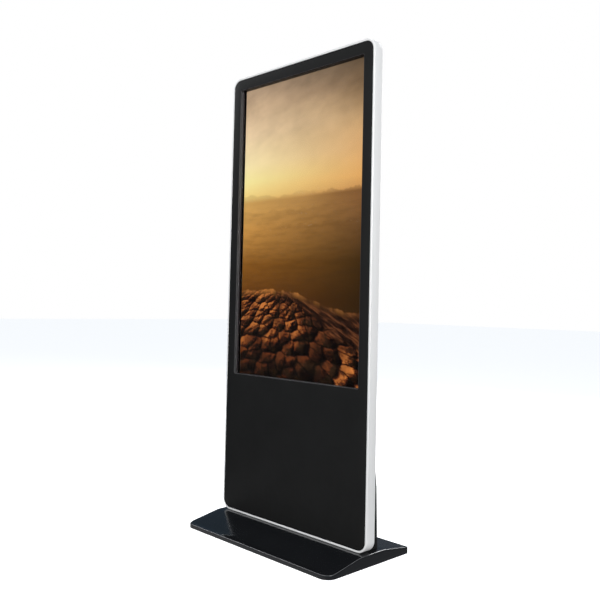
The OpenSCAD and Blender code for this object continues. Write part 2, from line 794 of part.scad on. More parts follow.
// Wedge-shaped cover over the posts
module stand_shroud() {
    k = shroud_knee;
    color("#1c1d1f") {
        difference() {
            translate([-cover_x, 0, 0]) rotate([90, 0, 90]) linear_extrude(2 * cover_x) polygon(
                [[band_y1, shroud_z0], [shroud_foot_y, shroud_z0], k, [cover_y1, shroud_top],
                 [band_y1, shroud_top]]);
            translate([-cover_x + skin, 0, 0]) rotate([90, 0, 90])
                linear_extrude(2 * (cover_x - skin)) polygon(
                [[band_y1 - 1, shroud_z0 - 1], [shroud_foot_y - skin, shroud_z0 - 1],
                 [k[0] - skin, k[1] - 0.6], [cover_in, shroud_top - 0.8],
                 [cover_in, shroud_top + 1], [band_y1 - 1, shroud_top + 1]]);
        }
        for (s = [0, 1]) mirror([s, 0, 0]) difference() {
            box([cover_x, band_y1, body_z + 8], [cover_x + 24, band_y1 + skin, shroud_top]);
            for (p = shroud_screw_at) rod_y(p[0], p[1], band_y1 - 1, band_y1 + 3, screw_hole_r, 32);
            translate([cover_x + 24, band_y1 - 1, body_z + 8]) rotate([-90, 0, 0])
                rotate([0, 0, 45]) cube([40, 40, 8], center = true);
        }
    }
}

module service_door() {
    color("#1c1d1f") difference() {
        union() {
            slab(cover_in, cover_y1, door_zc) rounded(door_w, door_h, 2);
            for (z = [door_zc - 78, door_zc + 58]) difference() {
                box([-180, cover_in - 9, z], [140, cover_in, z + 20]);
                box([-181, cover_in - 7.5, z + 1.5], [141, cover_in + 0.1, z + 18.5]);
            }
        }
        rod_y(lock_x, door_zc, cover_in - 1, cover_y1 + 1, 9.5);
    }
}

// Knuckle barrel from z0 to z1 with a web down to the leaf on side s
module knuckle(z0, z1, s) {
    rod_z(hinge_x, hinge_y, z0, z1, knuckle_r);
    box([min(hinge_x, hinge_x + s * 3.2), cover_y1, z0],
        [max(hinge_x, hinge_x + s * 3.2), hinge_y, z1]);
}

module leaf(z, s) {
    box([min(hinge_x + s * 3.2, hinge_x + s * 26), cover_y1, z - 25],
        [max(hinge_x + s * 3.2, hinge_x + s * 26), cover_y1 + leaf_t, z + 25]);
}

module hinge_leaves_fixed() {
    color("silver") for (z = hinge_zs) difference() {
        union() {
            leaf(z, -1);
            knuckle(z - 25, z - 8.5, -1);
            knuckle(z + 8.5, z + 25, -1);
        }
        rod_z(hinge_x, hinge_y, z - 30, z + 30, pin_r + pin_gap);
    }
}

module hinge_leaves_door() {
    color("silver") for (z = hinge_zs) difference() {
        union() {
            leaf(z, 1);
            knuckle(z - 8, z + 8, 1);
        }
        rod_z(hinge_x, hinge_y, z - 30, z + 30, pin_r + pin_gap);
    }
}

module hinge_pins() {
    color("gray") for (z = hinge_zs) {
        rod_z(hinge_x, hinge_y, z - 26, z + 25, pin_r);
        rod_z(hinge_x, hinge_y, z + 25, z + 26.5, 2.4);
    }
}

// Barrel with its flange outside the door and its nut inside
module lock_body() {
    color("silver") difference() {
        union() {
            rod_y(lock_x, door_zc, cover_y1, socket_y1, 11.5);
            rod_y(lock_x, door_zc, lock_y0, cover_y1, 9.3);
            rod_y(lock_x, door_zc, cover_in - 3, cover_in, 13, 6);
        }
        rod_y(lock_x, door_zc, lock_y0 - 1, socket_y1 + 1, 6.05);
    }
}

// Key plug with its cranked cam; at rest the cam hangs down, clear of the cover's lip
module lock_cam() {
    color("gold") difference() {
        rod_y(lock_x, door_zc, 14, socket_y1 + 0.6, 6);
        box([lock_x - 0.9, socket_y1 - 5, door_zc - 3.6], [lock_x + 0.9, socket_y1 + 1, door_zc + 3.6]);
    }
    color("silver") difference() {
        union() {
            rod_y(lock_x, door_zc, 13.8, 16.8, 9);
            box([lock_x - 6, 13.8, door_zc - 27], [lock_x + 6, 16.8, door_zc]);
            box([lock_x - 6, 13.8, door_zc - 27], [lock_x + 6, 27.8, door_zc - 24]);
            box([lock_x - 6, 24.8, door_zc - 42], [lock_x + 6, 27.8, door_zc - 24]);
        }
        rod_y(lock_x, door_zc, 14, 17, 6);
    }
}

// ---------- fans ----------

// Square duct, stator hub and four struts on the outlet side
module fan_housings() {
    color("#222426") for (s = [-1, 1]) difference() {
        union() {
            slab(fan_y0, cover_in, fan_z, s * fan_x) difference() {
                rounded(fan_size, fan_size, 4);
                circle(fan_duct_r, $fn = round_fn);
            }
            rod_y(s * fan_x, fan_z, cover_in - 3, cover_in, 16);
            rod_y(s * fan_x, fan_z, cover_in - 11, cover_in - 3, 5);
            slab(cover_in - 3, cover_in, fan_z, s * fan_x) for (a = [45 : 90 : 315])
                rotate(a) translate([14, -1.5]) square([25, 3]);
        }
        rod_y(s * fan_x, fan_z, cover_in - 12, cover_in - 2, 1.55);
        for (fx = [-1, 1], fz = [-1, 1])
            rod_y(s * fan_x + fx * fan_hole, fan_z + fz * fan_hole, fan_y0 - 1, cover_in + 1, 2.2, 24);
    }
}

// Cup-shaped hub with a pin, and seven raked blades
module fan_rotor(s) {
    translate([s * fan_x, 0, fan_z]) {
        difference() {
            rod_y(0, 0, fan_y0 + 1, cover_in - 4, 15);
            rod_y(0, 0, fan_y0 + 2.5, cover_in - 3, 13);
        }
        rod_y(0, 0, fan_y0 + 2.5, cover_in - 3.5, 1.5);
        intersection() {
            for (k = [0 : blades - 1]) rotate([0, k * 360 / blades, 0])
                translate([25, fan_y0 + 6.2, 0]) rotate([35, 0, 0])
                    cube([24, 1.4, 15], center = true);
            difference() {
                rod_y(0, 0, fan_y0 + 1, cover_in - 4, fan_duct_r - 1.5);
                rod_y(0, 0, fan_y0, cover_in - 3, 14.5);
            }
        }
    }
}

module fan_rotor_left() { color("#303234") fan_rotor(-1); }
module fan_rotor_right() { color("#303234") fan_rotor(1); }

// Flat rings on crossed spokes, with an eye at each corner
module fan_guards() {
    color("silver") for (s = [-1, 1]) slab(cover_y1, cover_y1 + 1.8, fan_z, s * fan_x) {
        for (r = [8, 15, 22, 29, 36]) difference() {
            circle(r + 0.9, $fn = round_fn);
            circle(r - 0.9, $fn = round_fn);
        }
        for (a = [45 : 90 : 315]) rotate(a) translate([7.5, -0.9])
            square([fan_hole * sqrt(2) - 11, 1.8]);
        for (fx = [-1, 1], fz = [-1, 1]) translate([fx * fan_hole, fz * fan_hole]) difference() {
            circle(4.2, $fn = 32);
            circle(2.2, $fn = 32);
        }
    }
}

module fan_screws() {
    color("silver") for (s = [-1, 1], fx = [-1, 1], fz = [-1, 1])
        screw_y(s * fan_x + fx * fan_hole, fan_z + fz * fan_hole, cover_y1 + 1.8, 14, 2, 3.6, 2, -1);
}

// ---------- leads inside the body ----------

module mains_lead() {
    color("#222222") lead([[inlet_x, 12, row_z], [inlet_x, 3, row_z - 2], [106, -4, 330],
                           [84, -6, 290], [52, -6, 250], [28, -4, 232], [10, -4, 230]],
                          3.5, [1, 0.2, -1]);
}

module player_lead() {
    color("#222222") lead([[-60, 0, 280], [-60, 0, 300], [-57, 1, 330], [-45, 1, 370],
                           [-40, 0, 395], [-40, 0, 410]], 2.5, [0, 1, 0]);
}

module video_lead() {
    color("#222222") lead([[-100, 0, 560], [-100, 3, 574], [-100, 17, 592], [-100, 20, 612],
                           [-98, 16, 680], [-90, 14, 790], [-76, 12, 900], [-62, 9, 975],
                           [-60, 9, 1000]], 3.5, [1, 0, 0]);
}

module touch_lead() {
    z0 = screen_z - open_h / 2 - touch_w;
    color("#222222") lead([[300, -28.5, z0], [298, -26, 587], [280, -17, 581], [240, -13, 582],
                           [190, -11, 580], [150, -8, 562], [112, -4, 536], [86, -3, 522],
                           [70, -3, 520]], 2, [0.2, 1, 1], 3);
}

module speaker_leads() {
    z = amp_at[2] + 40;
    color("#7a1d1d") {
        lead([[180, -5, z], [192, -8, 252], [205, -12, 285], [218, -13, 300], [238, -13, 308],
              [280, -12, 340], [308, -6, 400], [318, -4, 444], [speaker_x, -2, 464],
              [speaker_x, 3.2, 472]], 1.5, [1, -3, -1], 3);
        lead([[80, -5, z], [66, -8, 236], [50, -12, 190], [30, -15, 160], [-60, -16, 148],
              [-170, -16, 150], [-200, -14, 190], [-203, -13, 250], [-209, -13, 290],
              [-222, -13, 303], [-250, -13, 312], [-285, -12, 345], [-308, -6, 400],
              [-318, -4, 444], [-speaker_x, -2, 464], [-speaker_x, 3.2, 472]],
             1.5, [0.1, 1, 0.1], 3);
    }
}

base_feet();
base_plate();
base_riser();
base_cover();
base_screws();
in_body() stand_posts();
in_body() post_bolts();
in_body() side_frame();
in_body() frame_splice();
in_body() front_fascia();
in_body() fascia_gasket();
in_body() chassis_rails();
in_body() cross_bars();
in_body() rail_bolts();
in_body() touch_frame();
in_body() touch_filter_strips();
in_body() touch_boards();
in_body() cover_glass();
in_body() glass_gasket();
in_body() glass_clips();
in_body() lcd_bezel();
in_body() lcd_cell();
in_body() lcd_diffuser();
in_body() lcd_led_strips();
in_body() lcd_tray();
in_body() controller_board();
in_body() equipment_tray();
in_body() media_player();
in_body() power_supply();
in_body() amplifier_board();
in_body() board_standoffs();
in_body() power_inlet();
in_body() inlet_pins();
in_body() switch_housing();
in_body() power_rocker();
in_body() io_sockets();
in_body() button_bezel();
in_body() start_button();
in_body() speaker_frames();
in_body() speaker_cones();
in_body() speaker_magnets();
in_body() rear_cover();
in_body() cover_screws();
in_body() stand_shroud();
in_body() service_door();
in_body() hinge_leaves_fixed();
in_body() hinge_leaves_door();
in_body() hinge_pins();
in_body() lock_body();
in_body() lock_cam();
in_body() fan_housings();
in_body() fan_rotor_left();
in_body() fan_rotor_right();
in_body() fan_guards();
in_body() fan_screws();
in_body() mains_lead();
in_body() player_lead();
in_body() video_lead();
in_body() touch_lead();
in_body() speaker_leads();
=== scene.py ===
"""The looks of the floor-standing touchscreen kiosk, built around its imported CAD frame.

Metres. +X is to the right of a person facing the screen, +Y is the back, +Z is up.
"""
import json
from math import cos, pi, radians, sin, sqrt

import bmesh
import bpy
from mathutils import Matrix, Vector

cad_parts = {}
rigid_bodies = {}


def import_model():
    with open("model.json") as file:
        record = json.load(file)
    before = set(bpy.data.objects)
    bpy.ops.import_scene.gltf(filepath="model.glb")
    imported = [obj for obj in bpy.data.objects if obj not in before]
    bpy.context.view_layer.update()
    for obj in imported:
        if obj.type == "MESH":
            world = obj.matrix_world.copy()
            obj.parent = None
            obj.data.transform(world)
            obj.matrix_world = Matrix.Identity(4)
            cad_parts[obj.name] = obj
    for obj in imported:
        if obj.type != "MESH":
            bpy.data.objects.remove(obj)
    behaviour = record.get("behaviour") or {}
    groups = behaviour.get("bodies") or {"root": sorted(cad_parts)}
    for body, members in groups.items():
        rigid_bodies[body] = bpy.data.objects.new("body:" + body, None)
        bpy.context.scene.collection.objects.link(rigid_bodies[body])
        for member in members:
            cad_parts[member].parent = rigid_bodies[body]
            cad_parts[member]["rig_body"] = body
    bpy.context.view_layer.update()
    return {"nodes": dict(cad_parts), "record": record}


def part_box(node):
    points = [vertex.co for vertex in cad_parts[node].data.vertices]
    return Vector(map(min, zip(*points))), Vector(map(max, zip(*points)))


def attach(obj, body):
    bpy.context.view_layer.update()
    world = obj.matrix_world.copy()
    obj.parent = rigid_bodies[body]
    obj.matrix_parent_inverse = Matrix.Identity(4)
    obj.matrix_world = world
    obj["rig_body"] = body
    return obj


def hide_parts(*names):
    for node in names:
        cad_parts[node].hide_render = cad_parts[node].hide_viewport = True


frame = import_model()

MM = 0.001
nodes = frame["nodes"]
slot_of = {part["node"]: part["material_slot"] for part in frame["record"]["subparts"]}


# ---------- camera, light and stage ----------

CAMERA_AT = Vector((2.068, -2.003, 0.9115))
CAMERA_YAW = radians(-45.753)     # from +Y, clockwise seen from above
CAMERA_PITCH = radians(2.64)
CAMERA_ROLL = radians(1.258)
LENS = 43.77                      # on the default 36 mm sensor
SHIFT_Y = -0.0487                 # the photograph is cropped a little off its own middle


def make_camera():
    """The camera at the photograph's viewing angle."""
    yaw, pitch, roll = CAMERA_YAW, CAMERA_PITCH, CAMERA_ROLL
    forward = Vector((sin(yaw) * cos(pitch), cos(yaw) * cos(pitch), sin(pitch)))
    level = Vector((cos(yaw), -sin(yaw), 0))
    upright = level.cross(forward)
    right = cos(roll) * level + sin(roll) * upright
    up = cos(roll) * upright - sin(roll) * level
    camera = bpy.data.objects.new("camera", bpy.data.cameras.new("camera"))
    camera.data.lens = LENS
    camera.data.shift_y = SHIFT_Y
    turn = Matrix((right, up, -forward)).transposed().to_4x4()
    camera.matrix_world = Matrix.Translation(CAMERA_AT) @ turn
    bpy.context.scene.collection.objects.link(camera)
    bpy.context.scene.camera = camera


def area_light(name, at, towards, size, power, colour=(1, 1, 1)):
    data = bpy.data.lights.new(name, "AREA")
    data.shape = "RECTANGLE"
    data.size, data.size_y = size
    data.energy = power
    data.color = colour
    light = bpy.data.objects.new(name, data)
    light.location = at
    light.rotation_euler = (Vector(towards) - Vector(at)).to_track_quat("-Z", "Y").to_euler()
    bpy.context.scene.collection.objects.link(light)


def sun_light(name, direction, strength, spread):
    data = bpy.data.lights.new(name, "SUN")
    data.energy = strength
    data.angle = radians(spread)
    light = bpy.data.objects.new(name, data)
    light.rotation_euler = (-Vector(direction)).to_track_quat("-Z", "Y").to_euler()
    bpy.context.scene.collection.objects.link(light)


def make_lights():
    sun_light("overhead", (0.10, -0.12, 1.0), 0.5, 70)
    area_light("side_softbox", (3.9, -0.9, 1.75), (0.4, 0, 1.0), (1.6, 2.2), 140)
    area_light("front_softbox", (0.5, -4.6, 2.5), (0, 0, 0.9), (2.4, 1.6), 160)
    area_light("left_softbox", (-3.2, -0.1, 3.1), (0, -0.1, 0.1), (1.4, 1.4), 60)
    area_light("back_softbox", (-0.8, 3.9, 3.2), (0, 0, 0.9), (2.2, 2.0), 260)


MIRRORED_FLOOR = (0.09, 0.10, 0.115)
BRIGHT_FLOOR = (0.50, 0.80)       # m from the middle of the foot, over which the painted pool of light in the mirrored floor fades out
SHADED_FLOOR = (0.36, 0.41)       # m to the right of it, where the foot's end starts; painted shade in the mirrored floor there


def make_world():
    """White behind the object; what the surfaces mirror is a dim, slightly blue studio."""
    world = bpy.data.worlds.new("studio")
    world.use_nodes = True
    tree = world.node_tree
    tree.nodes.clear()
    seen = put(tree, "ShaderNodeBackground", {"Color": (1, 1, 1, 1), "Strength": 1.0})
    coords = put(tree, "ShaderNodeTexCoord")
    split = put(tree, "ShaderNodeSeparateXYZ", {"Vector": coords.outputs["Generated"]})
    ramp = colour_ramp(tree, split.outputs["Z"], [
        (0.00, MIRRORED_FLOOR), (0.35, (0.06, 0.10, 0.145)), (1.00, (0.13, 0.17, 0.21))])
    mirrored = put(tree, "ShaderNodeBackground", {"Color": ramp, "Strength": 1.0})
    path = put(tree, "ShaderNodeLightPath")
    both = put(tree, "ShaderNodeMixShader", {
        0: path.outputs["Is Camera Ray"], 1: mirrored.outputs[0], 2: seen.outputs[0]})
    put(tree, "ShaderNodeOutputWorld", {"Surface": both.outputs[0]})
    bpy.context.scene.world = world


def make_floor():
    """Pale paper. Mirrored in the object it glows with a painted pool of light only close to the
    foot, and with painted shade to the right of it.
    """
    bpy.ops.mesh.primitive_plane_add(size=60, location=(0, 0, 0))
    floor = bpy.context.object
    floor.name = "floor"
    material, tree, shader = new_surface("floor_paper")
    shader.inputs["Base Color"].default_value = (0.82, 0.82, 0.82, 1)
    shader.inputs["Roughness"].default_value = 0.9
    shader.inputs["Specular IOR Level"].default_value = 0.0
    shader.inputs["Emission Color"].default_value = (1, 1, 1, 1)
    shader.inputs["Emission Strength"].default_value = 0.72
    place = put(tree, "ShaderNodeTexCoord").outputs["Object"]
    away = put(tree, "ShaderNodeVectorMath", {0: place}, operation="LENGTH").outputs["Value"]
    split = put(tree, "ShaderNodeSeparateXYZ", {"Vector": place})
    # Painted light and shade for the mirrored floor: bright near the foot, darker to its right.
    painted_light_and_shade = times(tree, remap(tree, away, *BRIGHT_FLOOR, 1.0, 0.0),
                 remap(tree, split.outputs["X"], *SHADED_FLOOR, 1.0, 0.3))
    colour = mix_colour(tree, painted_light_and_shade, MIRRORED_FLOOR, (0.66, 0.66, 0.68))
    mirrored = put(tree, "ShaderNodeEmission", {"Color": colour})
    path = put(tree, "ShaderNodeLightPath")
    both = put(tree, "ShaderNodeMixShader", {
        0: path.outputs["Is Camera Ray"], 1: mirrored.outputs[0], 2: shader.outputs[0]})
    tree.links.new(both.outputs[0], tree.nodes["Material Output"].inputs["Surface"])
    floor.data.materials.append(material)


# ---------- material nodes ----------

def put(tree, kind, inputs=None, **settings):
    """Adds a node; an input is a value, or the socket that feeds it."""
    made = tree.nodes.new(kind)
    for key, value in settings.items():
        setattr(made, key, value)
    for key, value in (inputs or {}).items():
        if isinstance(value, bpy.types.NodeSocket):
            tree.links.new(value, made.inputs[key])
        else:
            made.inputs[key].default_value = value
    return made


def math_node(tree, operation, a, b=0.0):
    return put(tree, "ShaderNodeMath", {0: a, 1: b}, operation=operation).outputs[0]


def times(tree, *factors):
    product = factors[0]
    for factor in factors[1:]:
        product = math_node(tree, "MULTIPLY", product, factor)
    return product


def remap(tree, value, low, high, to_low, to_high):
    made = put(tree, "ShaderNodeMapRange", {
        "Value": value, "From Min": low, "From Max": high, "To Min": to_low, "To Max": to_high})
    return made.outputs["Result"]


def colour_ramp(tree, factor, stops):
    made = put(tree, "ShaderNodeValToRGB", {"Fac": factor})
    elements = made.color_ramp.elements
    while len(elements) < len(stops):
        elements.new(0.5)
    for element, (place, colour) in zip(elements, stops):
        element.position = place
        element.color = (*colour, 1)
    return made.outputs["Color"]


def mix_colour(tree, factor, a, b, blend="MIX"):
    made = put(tree, "ShaderNodeMix", data_type="RGBA", blend_type=blend)
    for index, value in ((0, factor), (6, a), (7, b)):
        if isinstance(value, bpy.types.NodeSocket):
            tree.links.new(value, made.inputs[index])
        elif index:
            made.inputs[index].default_value = (*value, 1)
        else:
            made.inputs[index].default_value = value
    return made.outputs[2]


def stretched(tree, scale):
    """Object coordinates in metres, scaled on each axis."""
    coords = put(tree, "ShaderNodeTexCoord").outputs["Object"]
    made = put(tree, "ShaderNodeVectorMath", {0: coords, 1: scale}, operation="MULTIPLY")
    return made.outputs[0]


def noise(tree, vector, scale, detail=3.0, roughness=0.5):
    made = put(tree, "ShaderNodeTexNoise", {
        "Vector": vector, "Scale": scale, "Detail": detail, "Roughness": roughness})
    return made.outputs["Fac"]


def new_surface(name):
    material = bpy.data.materials.new(name)
    material.use_nodes = True
    return material, material.node_tree, material.node_tree.nodes["Principled BSDF"]


def with_edge_wear_and_highlight(tree, tint, colour, edge_wear_and_highlight, patches, level_edges):
    """Paler where the surface turns from one of the object's own axes to the next: partly wear,
    partly a painted highlight along the edges.
    """
    normal = put(tree, "ShaderNodeVectorMath", {
        0: put(tree, "ShaderNodeTexCoord").outputs["Normal"]}, operation="ABSOLUTE").outputs[0]
    split = put(tree, "ShaderNodeSeparateXYZ", {"Vector": normal})
    x, y, z = (split.outputs[axis] for axis in "XYZ")
    if level_edges:
        upright = math_node(tree, "SQRT", math_node(tree, "SUBTRACT", 1.0, times(tree, z, z)))
    else:
        upright = math_node(tree, "MAXIMUM", x, y)
    squarest = math_node(tree, "MAXIMUM", upright, z)
    # Painted highlight as well as wear: the rounded edges get a paler colour whatever the light.
    wear_and_highlight = times(tree, remap(tree, squarest, 0.965, 0.86, 0.0, edge_wear_and_highlight),
                   remap(tree, patches, 0.3, 0.6, 0.4, 1.0))
    return mix_colour(tree, wear_and_highlight, tint, tuple(0.6 * c + 0.10 for c in colour))


def grained(name, colour, rough, metallic=0.0, grain=900.0, height=0.02, stretch=(1, 1, 1),
            spread=0.08, rough_spread=0.06, mottle=6.0, specular=0.5, edge_wear_and_highlight=0.0,
            level_edges=False):
    """A finish with a fine grain in its bump, and slow changes in shade and gloss."""
    material, tree, shader = new_surface(name)
    place = stretched(tree, stretch)
    slow = noise(tree, place, mottle, 4.0, 0.6)
    fine = noise(tree, place, grain, 2.0)
    dark = tuple(c * (1 - spread) for c in colour)
    light = tuple(c * (1 + spread) for c in colour)
    tint = colour_ramp(tree, slow, [(0.3, dark), (0.7, light)])
    # Paler edges: partly wear, partly a painted edge highlight.
    if edge_wear_and_highlight:
        patches = noise(tree, place, mottle * 9, 4.0, 0.6)
        tint = with_edge_wear_and_highlight(tree, tint, colour, edge_wear_and_highlight, patches, level_edges)
    gloss = remap(tree, noise(tree, place, mottle * 7, 5.0, 0.65), 0.3, 0.7,
                  rough - rough_spread, rough + rough_spread)
    bump = put(tree, "ShaderNodeBump", {
        "Height": fine, "Strength": 0.5, "Distance": height * MM})
    tree.links.new(tint, shader.inputs["Base Color"])
    tree.links.new(gloss, shader.inputs["Roughness"])
    tree.links.new(bump.outputs[0], shader.inputs["Normal"])
    shader.inputs["Metallic"].default_value = metallic
    shader.inputs["Specular IOR Level"].default_value = specular
    return material


def glass_finish():
    """Toughened glass with a coating that keeps its reflection low."""
    material, tree, shader = new_surface("anti_glare_glass")
    smears = noise(tree, stretched(tree, (1, 1, 0.6)), 9.0, 6.0, 0.6)
    gloss = remap(tree, smears, 0.35, 0.75, 0.002, 0.012)
    tree.links.new(gloss, shader.inputs["Roughness"])
    tint = colour_ramp(tree, smears, [(0.2, (0.985, 0.99, 0.99)), (0.8, (0.97, 0.98, 0.98))])
    tree.links.new(tint, shader.inputs["Base Color"])
    shader.inputs["Transmission Weight"].default_value = 1.0
    shader.inputs["IOR"].default_value = 1.15
    shader.inputs["Specular IOR Level"].default_value = 0.05
    return material


def circuit_finish():
    """Green solder mask with paler tracks and pads."""
    material, tree, shader = new_surface("circuit_board")
    place = stretched(tree, (1, 1, 1))
    tracks = put(tree, "ShaderNodeTexBrick", {
        "Vector": place, "Scale": 60.0, "Mortar Size": 0.012, "Mortar Smooth": 0.3,
        "Color1": (0.010, 0.085, 0.035, 1), "Color2": (0.014, 0.105, 0.045, 1),
        "Mortar": (0.035, 0.20, 0.075, 1)})
    speck = noise(tree, place, 240.0, 2.0)
    tint = mix_colour(tree, remap(tree, speck, 0.62, 0.66, 0.0, 0.5),
                      tracks.outputs["Color"], (0.42, 0.38, 0.22))
    tree.links.new(tint, shader.inputs["Base Color"])
    tree.links.new(remap(tree, speck, 0.3, 0.7, 0.25, 0.45), shader.inputs["Roughness"])
    bump = put(tree, "ShaderNodeBump", {
        "Height": tracks.outputs["Fac"], "Strength": 0.4, "Distance": 0.05 * MM})
    tree.links.new(bump.outputs[0], shader.inputs["Normal"])
    return material


# ---------- the picture on the display ----------

def srgb(red, green, blue):
    """A colour given in 0-255 sRGB, as linear values."""
    def linear(value):
        part = value / 255
        return part / 12.92 if part <= 0.04045 else ((part + 0.055) / 1.055) ** 2.4
    return tuple(linear(v) for v in (red, green, blue))


# Colours of the sky and the hazy plain, from the foot of the picture to its top
LEFT_SIDE = [(0.26, srgb(96, 54, 18)), (0.38, srgb(140, 89, 30)), (0.50, srgb(204, 147, 73)),
             (0.595, srgb(222, 172, 96)), (0.612, srgb(244, 210, 128)), (0.67, srgb(251, 236, 160)),
             (0.73, srgb(251, 231, 176)), (0.83, srgb(240, 211, 170)), (0.93, srgb(214, 182, 147)),
             (1.00, srgb(180, 153, 126))]
RIGHT_SIDE = [(0.26, srgb(48, 30, 8)), (0.38, srgb(60, 40, 14)), (0.50, srgb(106, 72, 40)),
              (0.594, srgb(146, 99, 58)), (0.604, srgb(206, 148, 87)), (0.64, srgb(228, 168, 98)),
              (0.72, srgb(219, 168, 111)), (0.83, srgb(188, 151, 107)), (0.93, srgb(128, 101, 73)),
              (1.00, srgb(90, 73, 56))]
ROCK_SHADES = [(0.0, srgb(7, 3, 2)), (0.28, srgb(38, 19, 11)), (0.60, srgb(110, 55, 26)),
               (1.0, srgb(205, 122, 58))]
SLAB_SHADES = [(0.36, srgb(8, 4, 3)), (0.50, srgb(42, 23, 14)), (0.66, srgb(118, 68, 38))]
PICTURE_RATIO = 16 / 9            # height to width
SLAB_TILT = radians(-28)
# Each line of hills: height, bumps across, half swing, darkening, noise row, and the places
# across the picture where it starts and is at its fullest
HILLS = [(0.612, 5.0, 0.016, 0.20, 3.1, 0.75, 0.35), (0.603, 15.0, 0.013, 0.34, 9.7, 0.55, 0.80),
         (0.560, 8.0, 0.012, 0.13, 5.3, 0.95, 0.55), (0.505, 11.0, 0.012, 0.10, 7.9, 0.10, 0.45)]


def soft_step(tree, value, edge, half):
    """0 below the edge, 1 above it."""
    return remap(tree, value, edge - half, edge + half, 0.0, 1.0)


def point(tree, x, y):
    return put(tree, "ShaderNodeCombineXYZ", {"X": x, "Y": y}).outputs[0]


def stone_height(tree, across, down, shift):
    """Height of the cobbled rock at a place moved by shift, and how far a crack is."""
    place = point(tree, math_node(tree, "ADD", across, shift[0]),
                  math_node(tree, "ADD", down, shift[1]))
    wobble = put(tree, "ShaderNodeTexNoise", {
        "Vector": place, "Scale": 3.0, "Detail": 5.0, "Roughness": 0.6})
    bent = put(tree, "ShaderNodeVectorMath", {
        0: wobble.outputs["Color"], 1: (0.26, 0.26, 0.26), 2: place},
        operation="MULTIPLY_ADD").outputs[0]
    stones = {"Vector": bent, "Scale": 3.3, "Randomness": 0.9}
    crack = put(tree, "ShaderNodeTexVoronoi", stones, feature="DISTANCE_TO_EDGE",
                voronoi_dimensions="2D").outputs["Distance"]
    out = put(tree, "ShaderNodeTexVoronoi", stones, feature="F1",
              voronoi_dimensions="2D").outputs["Distance"]
    dome = times(tree, math_node(tree, "POWER", out, 1.7), -2.5)
    rough = noise(tree, bent, 13.0, 8.0, 0.70)
    return math_node(tree, "ADD", dome, times(tree, rough, 1.7)), crack


def sky_colours(tree, u, v):
    """Evening sky over a hazy plain, with clouds that drift down to the left."""
    left = colour_ramp(tree, v, LEFT_SIDE)
    right = colour_ramp(tree, v, RIGHT_SIDE)
    air = mix_colour(tree, u, left, right)
    tilted = math_node(tree, "SUBTRACT", times(tree, v, 4.2), times(tree, u, 0.50))
    streaks = noise(tree, point(tree, times(tree, u, 1.1), tilted), 2.6, 9.0, 0.64)
    patches = noise(tree, point(tree, times(tree, u, 1.5), times(tree, v, 2.6)), 2.3, 3.0, 0.5)
    upper = remap(tree, v, 0.66, 0.95, 0.12, 1.0)
    shade = math_node(tree, "ADD", remap(tree, streaks, 0.36, 0.66, 0.17, -0.11),
                      remap(tree, patches, 0.35, 0.65, 0.14, -0.08))
    value = math_node(tree, "SUBTRACT", 1.0, times(tree, shade, upper))
    cloudy = put(tree, "ShaderNodeHueSaturation", {
        "Color": air, "Saturation": 1.0, "Value": value})
    return cloudy.outputs["Color"]


def with_hills(tree, u, v, picture):
    """Hazy ridges on the left, a line of trees on the right, fields and streams below."""
    for level, scale, swing, darker, row, from_u, to_u in HILLS:
        line = noise(tree, point(tree, u, row), scale, 5.0, 0.6)
        ridge = remap(tree, line, 0.28, 0.72, level - swing, level + swing)
        below = soft_step(tree, math_node(tree, "SUBTRACT", ridge, v), 0.0, 0.0022)
        fade = remap(tree, v, level - 0.05, level - 0.01, 0.0, darker)
        amount = times(tree, below, fade, remap(tree, u, from_u, to_u, 0.0, 1.0))
        picture = mix_colour(tree, amount, picture, srgb(74, 46, 24))
    flat = point(tree, times(tree, u, 2.4), times(tree, v, 22.0))
    fields = noise(tree, flat, 2.4, 6.0, 0.6)
    dark = times(tree, remap(tree, v, 0.595, 0.55, 0.0, 1.0),
                 remap(tree, fields, 0.42, 0.64, 0.0, 0.20))
    picture = mix_colour(tree, dark, picture, srgb(48, 33, 16))
    bright = times(tree, remap(tree, fields, 0.655, 0.68, 0.0, 0.5),
                   remap(tree, v, 0.58, 0.545, 0.0, 1.0), remap(tree, v, 0.46, 0.50, 0.0, 1.0))
    return mix_colour(tree, bright, picture, srgb(232, 176, 118))


